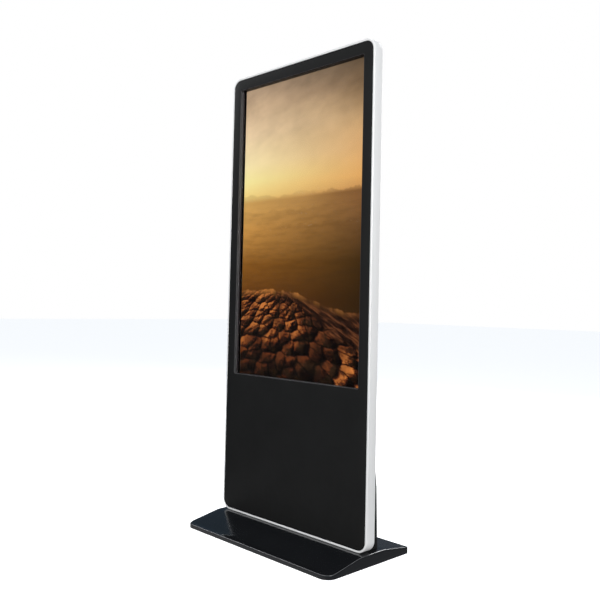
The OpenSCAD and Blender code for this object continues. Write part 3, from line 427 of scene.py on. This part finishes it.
def with_rock(tree, u, v, picture):
    """Cobbles and tilted slabs in front, lit low from the left."""
    depth = math_node(tree, "SUBTRACT", 0.45, v)
    across = math_node(tree, "DIVIDE", math_node(tree, "SUBTRACT", u, 0.45), depth)
    down = times(tree, math_node(tree, "LOGARITHM", depth, 2.718), -2.5)
    here, crack = stone_height(tree, across, down, (0.0, 0.0))
    towards_light, _ = stone_height(tree, across, down, (-0.05, 0.05))
    slope = math_node(tree, "SUBTRACT", here, towards_light)
    tall = times(tree, v, PICTURE_RATIO)
    corner = put(tree, "ShaderNodeVectorMath", {0: point(tree, u, tall), 1: (0.96, 0.07, 0)},
                 operation="DISTANCE").outputs["Value"]
    left_glow = times(tree, remap(tree, v, 0.03, 0.18, 0.42, 1.0),
                      remap(tree, u, 0.45, 0.9, 1.0, 0.5))
    glow = math_node(tree, "MAXIMUM", left_glow, remap(tree, corner, 0.10, 0.34, 1.05, 0.0))
    patches = remap(tree, noise(tree, point(tree, u, tall), 7.0, 2.0), 0.35, 0.65, 0.62, 1.15)
    lit = times(tree, remap(tree, slope, -0.40, 0.46, 0.0, 1.0), glow, patches)
    stones = colour_ramp(tree, lit, ROCK_SHADES)
    stones = mix_colour(tree, remap(tree, noise(tree, point(tree, u, tall), 16.0, 3.0),
                                    0.45, 0.70, 0.0, 0.45), stones, srgb(58, 42, 24))
    stones = mix_colour(tree, remap(tree, crack, 0.0, 0.09, 0.92, 0.0), stones, srgb(5, 3, 2))

    along = math_node(tree, "ADD", times(tree, u, cos(SLAB_TILT)),
                      times(tree, tall, sin(SLAB_TILT)))
    over = math_node(tree, "SUBTRACT", times(tree, tall, cos(SLAB_TILT)),
                     times(tree, u, sin(SLAB_TILT)))
    bands = noise(tree, point(tree, times(tree, along, 3.2), times(tree, over, 21.0)),
                  1.9, 8.0, 0.70)
    slabs = colour_ramp(tree, bands, SLAB_SHADES)
    border = math_node(tree, "ADD", v, times(tree, u, 0.296))
    ragged = math_node(tree, "ADD", border, remap(tree, crack, 0.0, 0.3, -0.02, 0.02))
    on_slabs = soft_step(tree, ragged, 0.384, 0.012)
    rock = mix_colour(tree, on_slabs, stones, slabs)

    bumps = noise(tree, point(tree, u, 2.2), 9.0, 6.0, 0.6)
    crest = math_node(tree, "ADD", remap(tree, bumps, 0.2, 0.8, -0.012, 0.012),
                      remap(tree, u, 0.42, 0.86, 0.292, 0.226))
    under = math_node(tree, "SUBTRACT", crest, v)
    rim = times(tree, remap(tree, under, 0.0, 0.022, 0.75, 0.0),
                remap(tree, bumps, 0.42, 0.62, 0.15, 1.0), remap(tree, u, 0.5, 1.0, 1.0, 0.35))
    rock = mix_colour(tree, rim, rock, srgb(206, 132, 62))
    return mix_colour(tree, soft_step(tree, under, 0.0, 0.002), picture, rock)


def picture_finish():
    """A lit landscape: evening sky, misty hills and cracked rock in front."""
    low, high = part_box("lcd_cell")
    material, tree, shader = new_surface("display_picture")
    place = put(tree, "ShaderNodeTexCoord").outputs["Object"]
    split = put(tree, "ShaderNodeSeparateXYZ", {"Vector": place})
    u = remap(tree, split.outputs["X"], low.x, high.x, 0.0, 1.0)
    v = remap(tree, split.outputs["Z"], low.z, high.z, 0.0, 1.0)
    picture = sky_colours(tree, u, v)
    picture = with_hills(tree, u, v, picture)
    picture = with_rock(tree, u, v, picture)
    tree.links.new(picture, shader.inputs["Emission Color"])
    shader.inputs["Emission Strength"].default_value = 1.0
    shader.inputs["Base Color"].default_value = (0.001, 0.001, 0.001, 1)
    shader.inputs["Roughness"].default_value = 0.4
    shader.inputs["Specular IOR Level"].default_value = 0.05
    return material


# ---------- one finish for each of the record's slots ----------

def make_finishes():
    """Material for each slot of the record."""
    black = (0.0125, 0.0124, 0.0122)
    steel = (0.40, 0.41, 0.42)
    return {
        "satin_black": grained("black_powder_coat", black, 0.52, grain=1300, height=0.03,
                               specular=0.07, spread=0.10, edge_wear_and_highlight=0.35),
        # The lacquer's strong pale edges are mostly a painted highlight along the foot's rounded
        # upper edge.
        "gloss_black": grained("black_lacquer", (0.0054, 0.0060, 0.0070), 0.16, grain=500,
                               height=0.004, specular=0.42, rough_spread=0.03, spread=0.12,
                               edge_wear_and_highlight=0.9, level_edges=True),
        "silver_band": grained("anodised_band", (0.83, 0.82, 0.805), 0.42, metallic=0.15,
                               grain=1600, height=0.012, spread=0.015, stretch=(1, 1, 0.12)),
        "anodised_dark": grained("dark_anodised", (0.050, 0.049, 0.050), 0.42, metallic=0.3,
                                 grain=1500, height=0.01, specular=0.3),
        "steel": grained("grey_primed_steel", steel, 0.48, metallic=0.2, grain=700, height=0.03,
                         edge_wear_and_highlight=0.5),
        "zinc": grained("zinc_plate", (0.62, 0.63, 0.65), 0.32, metallic=0.9, grain=800,
                        height=0.02, mottle=40),
        "bright_metal": grained("polished_metal", (0.72, 0.73, 0.74), 0.15, metallic=1.0,
                                grain=900, height=0.006, rough_spread=0.05),
        "brass": grained("brass", (0.75, 0.56, 0.23), 0.28, metallic=1.0, grain=900,
                         height=0.01),
        "cast_dark": grained("cast_case", (0.05, 0.053, 0.06), 0.5, metallic=0.5, grain=500,
                             height=0.06, edge_wear_and_highlight=0.5),
        "case_alloy": grained("folded_alloy_case", (0.70, 0.71, 0.72), 0.36, metallic=0.9,
                              grain=900, height=0.02, stretch=(0.1, 1, 1), edge_wear_and_highlight=0.3),
        "rubber": grained("rubber", (0.018, 0.018, 0.018), 0.75, grain=600, height=0.05,
                          specular=0.25),
        "black_plastic": grained("black_moulding", (0.014, 0.014, 0.015), 0.42, grain=800,
                                 height=0.03, specular=0.4, edge_wear_and_highlight=0.15),
        "white_plastic": grained("white_moulding", (0.80, 0.80, 0.78), 0.5, grain=700,
                                 height=0.02),
        "filter_plastic": grained("infrared_filter", (0.010, 0.004, 0.005), 0.14, grain=500,
                                  height=0.003, specular=0.4),
        "speaker_cone": grained("paper_cone", (0.014, 0.014, 0.014), 0.8, grain=500, height=0.1),
        "lead_jacket": grained("lead_jacket", (0.016, 0.016, 0.017), 0.5, grain=700, height=0.03),
        "speaker_wire": grained("red_jacket", (0.20, 0.014, 0.014), 0.45, grain=700,
                                height=0.03),
        "circuit_board": circuit_finish(),
        "glass": glass_finish(),
        "display": picture_finish(),
    }


# ---------- mesh helpers ----------

def add_piece(name, mesh, slot, body="kiosk", replaces=()):
    piece = bpy.data.objects.new(name, mesh)
    bpy.context.scene.collection.objects.link(piece)
    piece.data.materials.clear()
    piece.data.materials.append(finishes[slot])
    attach(piece, body)
    if replaces:
        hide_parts(*replaces)
    return piece


def smooth_by_angle(mesh, angle=32):
    for face in mesh.polygons:
        face.use_smooth = True
    mesh.set_sharp_from_angle(angle=radians(angle))


def corner_points(w, h, r, steps):
    """Points of a centred rounded rectangle, anticlockwise from the upper right corner."""
    centres = ((1, 1), (-1, 1), (-1, -1), (1, -1))
    points = []
    for quarter, (sx, sz) in enumerate(centres):
        for k in range(steps + 1):
            a = radians(90 * quarter + 90 * k / steps)
            points.append((sx * (w / 2 - r) + r * cos(a), sz * (h / 2 - r) + r * sin(a)))
    return points


def upright_loop(size, radius, middle, y, steps=12):
    """A rounded rectangle standing in the X-Z plane at depth y."""
    return [Vector((middle.x + x, y, middle.z + z))
            for x, z in corner_points(size[0], size[1], max(radius, 0.2 * MM), steps)]


def loft(loops, around=True, wrap=False, caps=False, bm=None):
    """Quads between loops of equal count, as a new bmesh or added to one."""
    bm = bmesh.new() if bm is None else bm
    rows = [[bm.verts.new(p) for p in loop] for loop in loops]
    count = len(rows[0])
    pairs = list(zip(rows, rows[1:])) + ([(rows[-1], rows[0])] if wrap else [])
    for a, b in pairs:
        for k in range(count if around else count - 1):
            n = (k + 1) % count
            bm.faces.new((a[k], a[n], b[n], b[k]))
    if caps:
        bm.faces.new(rows[0])
        bm.faces.new(rows[-1])
    return bm


def finished_mesh(name, bm, angle=32):
    bmesh.ops.remove_doubles(bm, verts=bm.verts, dist=0.001 * MM)
    bmesh.ops.recalc_face_normals(bm, faces=bm.faces)
    mesh = bpy.data.meshes.new(name)
    bm.to_mesh(mesh)
    bm.free()
    smooth_by_angle(mesh, angle)
    return mesh


def softened(node, width=0.5 * MM, segments=2, angle=35, flat=1.2):
    """The CAD node's own shape with its edges rounded over."""
    bm = bmesh.new()
    bm.from_mesh(nodes[node].data)
    bmesh.ops.remove_doubles(bm, verts=bm.verts, dist=0.002 * MM)
    bmesh.ops.dissolve_limit(bm, angle_limit=radians(flat), verts=bm.verts, edges=bm.edges)
    mesh = finished_mesh(node + "_soft", bm, angle)
    body = nodes[node]["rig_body"]
    piece = add_piece(node + "_soft", mesh, slot_of[node], body, [node])
    bevel = piece.modifiers.new("edges", "BEVEL")
    bevel.width = width
    bevel.segments = segments
    bevel.limit_method = "ANGLE"
    bevel.angle_limit = radians(angle)
    bevel.use_clamp_overlap = True
    bevel.harden_normals = True
    return piece


def islands(node):
    """Lowest and highest corner of each separate solid of a node."""
    bm = bmesh.new()
    bm.from_mesh(nodes[node].data)
    bmesh.ops.remove_doubles(bm, verts=bm.verts, dist=0.002 * MM)
    left = set(bm.verts)
    found = []
    while left:
        group, edge = set(), [left.pop()]
        while edge:
            v = edge.pop()
            group.add(v)
            for e in v.link_edges:
                other = e.other_vert(v)
                if other in left:
                    left.discard(other)
                    edge.append(other)
        low = Vector([min(v.co[i] for v in group) for i in range(3)])
        high = Vector([max(v.co[i] for v in group) for i in range(3)])
        found.append((low, high))
    bm.free()
    return sorted(found, key=lambda b: tuple(round(c, 5) for c in b[0]))


def arc_profile(centre, radius, start, end, steps):
    """Points (a, b) along an arc, angles in degrees."""
    return [(centre[0] + radius * cos(radians(start + (end - start) * k / steps)),
             centre[1] + radius * sin(radians(start + (end - start) * k / steps)))
            for k in range(steps + 1)]


# ---------- the silver band ----------

RIM_T = 4 * MM                    # thickness of the rim
BAND_EDGE = 1.6 * MM              # radius of the band's front outer edge
BAND_CORNER = 44 * MM
BAND_T = 3 * MM
FRONT_LIP, REAR_LIP = 22 * MM, 46 * MM
LIP_T = 2 * MM
LIP_EDGE = 0.6 * MM               # radius of the rim's inner and the band's rear edge
CORNER_STEPS = 14


def make_band():
    """The bent aluminium profile, open by a hair at its seam under the body."""
    low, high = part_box("side_frame")
    fascia_low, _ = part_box("front_fascia")
    rim = fascia_low.x - low.x - 0.3 * MM
    front, back = low.y, high.y
    middle = (low + high) / 2
    section = arc_profile((BAND_EDGE, front + BAND_EDGE), BAND_EDGE, 180, 270, 5)
    section += arc_profile((rim - LIP_EDGE, front + LIP_EDGE), LIP_EDGE, 270, 360, 3)
    section += [(rim, front + RIM_T), (FRONT_LIP, front + RIM_T),
                (FRONT_LIP, front + RIM_T + LIP_T), (BAND_T, front + RIM_T + LIP_T),
                (BAND_T, back - LIP_T), (REAR_LIP, back - LIP_T), (REAR_LIP, back)]
    section += arc_profile((LIP_EDGE, back - LIP_EDGE), LIP_EDGE, 90, 180, 3)
    size = high - low
    half_seam = 0.15 * MM
    loops = []
    for inset, y in section:
        loop = upright_loop((size.x - 2 * inset, size.z - 2 * inset), BAND_CORNER - inset,
                            middle, y, CORNER_STEPS)
        first = 3 * (CORNER_STEPS + 1)   # the lower right corner starts here
        turned = loop[first:] + loop[:first]
        bottom = turned[0].z
        loops.append([Vector((half_seam, y, bottom))] + turned
                     + [Vector((-half_seam, y, bottom))])
    bm = loft(loops, around=False, wrap=True)
    return add_piece("band", finished_mesh("band", bm, 30), "silver_band",
                     replaces=["side_frame"])


# ---------- the fascia and the touch frame ----------

TOUCH_MARGIN = 16 * MM            # the touch frame's width on each side of the opening
STRIP_DEPTH = 13 * MM             # depth of its channel
OPENING_CORNER = 3 * MM
TRIM_T = 1.6 * MM


def opening():
    """Size and middle of the screen opening."""
    low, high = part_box("touch_frame")
    size = high - low
    return (size.x - 2 * TOUCH_MARGIN, size.z - 2 * TOUCH_MARGIN), (low + high) / 2


def opening_loop(grow, y):
    """The outline of the screen opening, grown on every side, at depth y."""
    (open_w, open_h), middle = opening()
    return upright_loop((open_w + 2 * grow, open_h + 2 * grow), OPENING_CORNER + grow, middle, y)


def make_fascia():
    """Black sheet with a rounded outer edge, and the folded wall behind the screen trim."""
    low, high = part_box("front_fascia")
    touch_low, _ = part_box("touch_frame")
    gasket_low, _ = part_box("fascia_gasket")
    outer, middle = high - low, (low + high) / 2
    front, sheet, wall_end = low.y, gasket_low.y, touch_low.y
    edge, fold = 0.5 * MM, 2 * MM
    corner = BAND_CORNER - 8 * MM

    def outside(inset, y):
        return upright_loop((outer.x - 2 * inset, outer.z - 2 * inset), corner - inset, middle, y)

    loops = [outside(0, sheet)]
    loops += [outside(i, y) for i, y in arc_profile((edge, front + edge), edge, 180, 270, 3)]
    loops += [opening_loop(TRIM_T, front), opening_loop(TRIM_T, wall_end),
              opening_loop(fold, wall_end), opening_loop(fold, sheet)]
    bm = loft(loops, wrap=True)
    return add_piece("fascia", finished_mesh("fascia", bm, 30), "satin_black",
                     replaces=["front_fascia"])


def make_screen_trim():
    """Slim dark trim that lines the opening: a bead in front, a bead behind, a hollow between."""
    low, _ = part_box("front_fascia")
    touch_low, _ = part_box("touch_frame")
    front, back = low.y, touch_low.y
    bead, hollow = 1.9 * MM, 1.0 * MM
    section = [(TRIM_T, back), (TRIM_T, front), (0.5 * MM, front), (0.3 * MM, front + 0.2 * MM)]
    for middle_y in (front + 4.6 * MM, back - bead):
        section.append((hollow, middle_y - bead))
        section += [(hollow * (1 - sin(pi * k / 8)), middle_y - bead * cos(pi * k / 8))
                    for k in range(1, 8)]
        section.append((hollow, middle_y + bead))
    bm = loft([opening_loop(*place) for place in section], wrap=True)
    return add_piece("screen_trim", finished_mesh("screen_trim", bm, 30), "anodised_dark")


def make_touch_frame():
    """Dark profile behind the fascia: eased front lip, and a channel for the strips."""
    low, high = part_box("touch_frame")
    front, back, ease, wall = low.y, high.y, 0.7 * MM, 1.5 * MM
    section = [(TOUCH_MARGIN, back), (TOUCH_MARGIN, front), (ease, front)]
    section += arc_profile((ease, front + ease), ease, 270, 180, 3)
    section += [(0, front + wall), (STRIP_DEPTH, front + wall), (STRIP_DEPTH, back - wall),
                (0, back - wall), (0, back)]
    bm = loft([opening_loop(*place) for place in section], wrap=True)
    return add_piece("touch_profile", finished_mesh("touch_profile", bm, 30), "anodised_dark",
                     replaces=["touch_frame"])


# ---------- the foot ----------

FRONT_EDGE_H = 16.5 * MM
REAR_EDGE_H = 24 * MM
RIDGE_Y = 12 * MM                 # the ridge's middle stands behind the foot's middle
RIDGE_HALF = 64 * MM
TOE_D = 22 * MM                   # flat strip along the front edge
TOE_BEND = 12 * MM                # length of slope that the bend at the toe takes in
RIDGE_BEND = 18 * MM
FOOT_FRONT_R = 40 * MM
FOOT_REAR_R = 8 * MM
FOOT_EDGE = 2.4 * MM              # radius of the foot's upper edge
FOOT_WALL = 2 * MM
FOOT_ROWS = [(-170 + 6 * k) * MM for k in range(63)]    # where its top is sampled along Y
FOOT_COLUMNS = 24


def bend_ends(before, corner, after, length_before, length_after):
    """Where the curve that rounds a corner of the foot's profile starts and ends."""
    start = corner + (before - corner).normalized() * length_before
    end = corner + (after - corner).normalized() * length_after
    return start, corner, end


def foot_bends(d, top):
    """The three curves of the foot's side view, as points (y, z)."""
    front, toe = Vector((-d, FRONT_EDGE_H)), Vector((-d + TOE_D, FRONT_EDGE_H))
    ridge = [Vector((RIDGE_Y + s * RIDGE_HALF, top)) for s in (-1, 1)]
    rear = Vector((d, REAR_EDGE_H))
    return [bend_ends(front, toe, ridge[0], TOE_BEND / 2, TOE_BEND),
            bend_ends(toe, ridge[0], ridge[1], RIDGE_BEND, RIDGE_BEND),
            bend_ends(ridge[0], ridge[1], rear, RIDGE_BEND, RIDGE_BEND)], rear


def foot_height(y, bends, rear):
    """Height of the foot's top at y: straight runs joined by the bends."""
    previous = bends[0][0]
    y = min(max(y, previous.x), rear.x)
    for start, corner, end in bends:
        if y < start.x:
            share = (y - previous.x) / (start.x - previous.x)
            return previous.y + share * (start.y - previous.y)
        if y <= end.x:
            a = start.x - 2 * corner.x + end.x
            b = 2 * (corner.x - start.x)
            c = start.x - y
            t = -c / b if abs(a) < 1e-9 else (sqrt(max(b * b - 4 * a * c, 0)) - b) / (2 * a)
            return ((1 - t) ** 2 * start + 2 * t * (1 - t) * corner + t ** 2 * end).y
        previous = end
    share = (y - previous.x) / (rear.x - previous.x)
    return previous.y + share * (rear.y - previous.y)


def foot_half(w, d, inset):
    """Right half of the foot's outline from front to back, as (x, y)."""
    rf, rr = FOOT_FRONT_R - inset, max(FOOT_REAR_R - inset, 0.5 * MM)
    w, d = w - inset, d - inset
    front = [(w - rf + rf * sin(radians(a)), -d + rf - rf * cos(radians(a)))
             for a in range(0, 91, 5)]
    rows = [(w, y) for y in FOOT_ROWS]
    rear = [(w - rr + rr * cos(radians(a)), d - rr + rr * sin(radians(a)))
            for a in range(0, 91, 10)]
    return front + rows + rear


def make_foot():
    """Lacquered foot cover: sloping top, rounded upper edge, thin walls."""
    low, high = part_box("base_cover")
    w, d, top, bottom = high.x, high.y, high.z, low.z
    bends, rear = foot_bends(d, top)

    def surface(inset, drop):
        grid = []
        for x, y in foot_half(w, d, inset):
            z = foot_height(y, bends, rear) - drop
            grid.append([Vector((x * (2 * k / FOOT_COLUMNS - 1), y, z))
                         for k in range(FOOT_COLUMNS + 1)])
        return grid

    def rim(inset, z_of):
        right = foot_half(w, d, inset)
        left = [(-x, y) for x, y in reversed(right)]
        return [Vector((x, y, z_of(y))) for x, y in right + left]

    bm = bmesh.new()
    for inset, drop in ((FOOT_EDGE, 0), (FOOT_WALL, FOOT_WALL)):
        loft(surface(inset, drop), around=False, bm=bm)

    loops = []
    for k in range(5):
        a = radians(90 - 90 * k / 4)
        inset = FOOT_EDGE * (1 - cos(a))
        drop = FOOT_EDGE * (1 - sin(a))
        loops.append(rim(inset, lambda y, drop=drop: foot_height(y, bends, rear) - drop))
    loops.append(rim(0, lambda y: bottom + 0.4 * MM))
    loops.append(rim(0.4 * MM, lambda y: bottom))
    loops.append(rim(FOOT_WALL, lambda y: bottom))
    loops.append(rim(FOOT_WALL, lambda y: foot_height(y, bends, rear) - FOOT_WALL))
    loft(loops, bm=bm)
    return add_piece("foot_cover", finished_mesh("foot_cover", bm, 40), "gloss_black",
                     replaces=["base_cover"])


# ---------- small parts ----------

AXIS = 0.0001 * MM                # radius that stands for a point on the axis
SCREW_HEAD_H = 2 * MM
SCREW_SHANK = 2 * MM              # radius
GUARD_WIRE = 0.9 * MM             # half the thickness of the wire
GUARD_EYE = 4.2 * MM
GUARD_RINGS = [r * MM for r in (8, 15, 22, 29, 36)]
SPOKE_START = GUARD_RINGS[0] - GUARD_WIRE
SOFT_EDGES = {                    # radius of the edges, in mm
    "rear_cover": 0.5, "stand_shroud": 0.5, "service_door": 0.5, "cover_glass": 0.5,
    "power_inlet": 0.5, "switch_housing": 0.5, "power_rocker": 0.5, "io_sockets": 0.25,
    "button_bezel": 0.5, "start_button": 0.6, "hinge_leaves_fixed": 0.25,
    "hinge_leaves_door": 0.25, "hinge_pins": 0.3, "lock_body": 0.4, "lock_cam": 0.3,
    "fan_housings": 0.6, "fan_rotor_left": 0.2, "fan_rotor_right": 0.2, "base_plate": 0.8,
    "base_riser": 0.5, "stand_posts": 0.8, "post_bolts": 0.5, "rail_bolts": 0.5,
    "chassis_rails": 0.4, "cross_bars": 0.4, "equipment_tray": 0.3, "media_player": 1.0,
    "power_supply": 0.5, "speaker_frames": 0.6, "speaker_magnets": 0.8, "lcd_bezel": 0.2,
    "lcd_tray": 0.4, "glass_clips": 0.3, "base_screws": 0.4}
SMOOTH = ("mains_lead", "player_lead", "video_lead", "touch_lead", "speaker_leads",
          "speaker_cones")


def turned_about(axis_at, axis, profile, steps=32):
    """A profile of (radius, height) pairs turned about an axis, as a bmesh."""
    turn = Vector((0, 0, 1)).rotation_difference(Vector(axis)).to_matrix()
    loops = [[axis_at + turn @ Vector((r * cos(2 * pi * k / steps), r * sin(2 * pi * k / steps),
                                       h)) for k in range(steps)] for r, h in profile]
    return loft(loops)


def cut_from(mesh, cutter):
    """What is left of one mesh when the other is taken out of it."""
    pair = [bpy.data.objects.new("cut", each) for each in (mesh, cutter)]
    for each in pair:
        bpy.context.scene.collection.objects.link(each)
    cut = pair[0].modifiers.new("cut", "BOOLEAN")
    cut.object = pair[1]
    cut.operation = "DIFFERENCE"
    cut.solver = "EXACT"
    graph = bpy.context.evaluated_depsgraph_get()
    left = bpy.data.meshes.new_from_object(pair[0].evaluated_get(graph))
    for each in pair:
        bpy.data.objects.remove(each)
    return left


def screw_mesh(radius, height, length, shank):
    """Pan-head screw with a cross recess; its seat is at the origin and its head towards +Y."""
    profile = [(AXIS, -length), (0.7 * shank, -length), (shank, -length + 0.5 * MM), (shank, 0),
               (radius, 0), (radius, 0.35 * height), (0.93 * radius, 0.62 * height),
               (0.72 * radius, 0.86 * height), (0.40 * radius, height), (AXIS, height)]
    screw = finished_mesh("screw", turned_about(Vector(), (0, 1, 0), profile, 20))
    half, reach = 0.14 * radius, 0.62 * radius
    cross = [(half, half), (half, reach), (-half, reach), (-half, half), (-reach, half),
             (-reach, -half), (-half, -half), (-half, -reach), (half, -reach), (half, -half),
             (reach, -half), (reach, half)]
    cutter = loft([[Vector((x * k, y, z * k)) for x, z in cross]
                   for k, y in ((1.05, 1.1 * height), (0.5, 0.25 * height))], caps=True)
    return cut_from(screw, finished_mesh("cross", cutter))


def make_screws(node):
    """A screw with a recessed head in place of each of the node's plain ones."""
    spots = islands(node)
    low, high = spots[0]
    screw = screw_mesh((high.x - low.x) / 2, SCREW_HEAD_H, high.y - low.y - SCREW_HEAD_H,
                       SCREW_SHANK)
    whole = bmesh.new()
    for k, (low, high) in enumerate(spots):
        copy = screw.copy()
        seat = Vector(((low.x + high.x) / 2, high.y - SCREW_HEAD_H, (low.z + high.z) / 2))
        copy.transform(Matrix.Translation(seat) @ Matrix.Rotation(2.4 * k, 4, "Y"))
        whole.from_mesh(copy)
    return add_piece(node + "_recessed", finished_mesh(node, whole), slot_of[node],
                     replaces=[node])


def wire_ring(centre, radius, wire, steps=48, round_steps=8):
    """A wire bent into a ring that faces along Y."""
    loops = []
    for k in range(steps):
        a = 2 * pi * k / steps
        out = Vector((cos(a), 0, sin(a)))
        loops.append([centre + out * (radius + wire * cos(2 * pi * n / round_steps))
                      + Vector((0, wire * sin(2 * pi * n / round_steps), 0))
                      for n in range(round_steps)])
    return loft(loops, wrap=True)


def join(bms):
    whole = bmesh.new()
    for bm in bms:
        mesh = bpy.data.meshes.new("part")
        bm.to_mesh(mesh)
        bm.free()
        whole.from_mesh(mesh)
        bpy.data.meshes.remove(mesh)
    return whole


def make_fan_guards():
    """Finger guards of round wire: five rings on four spokes, with an eye at each corner."""
    parts = []
    for low, high in islands("fan_guards"):
        centre = (low + high) / 2
        reach = (high.x - low.x) / 2 - GUARD_EYE
        parts += [wire_ring(centre, radius, GUARD_WIRE) for radius in GUARD_RINGS]
        for sx in (-1, 1):
            for sz in (-1, 1):
                out = Vector((sx, 0, sz)).normalized()
                eye = centre + Vector((sx * reach, 0, sz * reach))
                parts.append(wire_ring(eye, GUARD_EYE - GUARD_WIRE, GUARD_WIRE, 24))
                length = (eye - centre).length - GUARD_EYE - SPOKE_START
                profile = [(AXIS, 0), (GUARD_WIRE, 0), (GUARD_WIRE, length), (AXIS, length)]
                parts.append(turned_about(centre + out * SPOKE_START, out, profile, 8))
    return add_piece("fan_guard_wires", finished_mesh("fan_guard_wires", join(parts), 60),
                     slot_of["fan_guards"], replaces=["fan_guards"])


def make_base_feet():
    """Moulded pads with rounded edges and a hollow underneath."""
    pads = []
    for low, high in islands("base_feet"):
        r, h = (high.x - low.x) / 2, high.z - low.z
        at = Vector(((low.x + high.x) / 2, (low.y + high.y) / 2, low.z))
        profile = [(AXIS, 1.0 * MM), (8.4 * MM, 1.0 * MM), (9.2 * MM, 0.3 * MM), (9.6 * MM, 0),
                   (r - 1.0 * MM, 0), (r - 0.3 * MM, 0.3 * MM), (r, 1.0 * MM), (r, h - 0.3 * MM),
                   (r - 0.3 * MM, h), (AXIS, h)]
        pads.append(turned_about(at, (0, 0, 1), profile, 40))
    return add_piece("moulded_feet", finished_mesh("moulded_feet", join(pads)), "rubber",
                     replaces=["base_feet"])


def smooth_copy(node, angle=50):
    """The CAD node's own shape, shaded as a round one."""
    bm = bmesh.new()
    bm.from_mesh(nodes[node].data)
    return add_piece(node + "_smooth", finished_mesh(node + "_smooth", bm, angle),
                     slot_of[node], nodes[node]["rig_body"], [node])


finishes = make_finishes()
for name, node in nodes.items():
    node.data.materials.clear()
    node.data.materials.append(finishes[slot_of[name]])

bpy.context.scene.view_settings.view_transform = "Standard"
make_camera()
make_world()
make_lights()
make_floor()

make_band()
make_fascia()
make_screen_trim()
make_touch_frame()
make_foot()
for node in ("cover_screws", "fan_screws"):
    make_screws(node)
make_fan_guards()
make_base_feet()
for node, radius in SOFT_EDGES.items():
    softened(node, radius * MM)
for node in SMOOTH:
    smooth_copy(node)
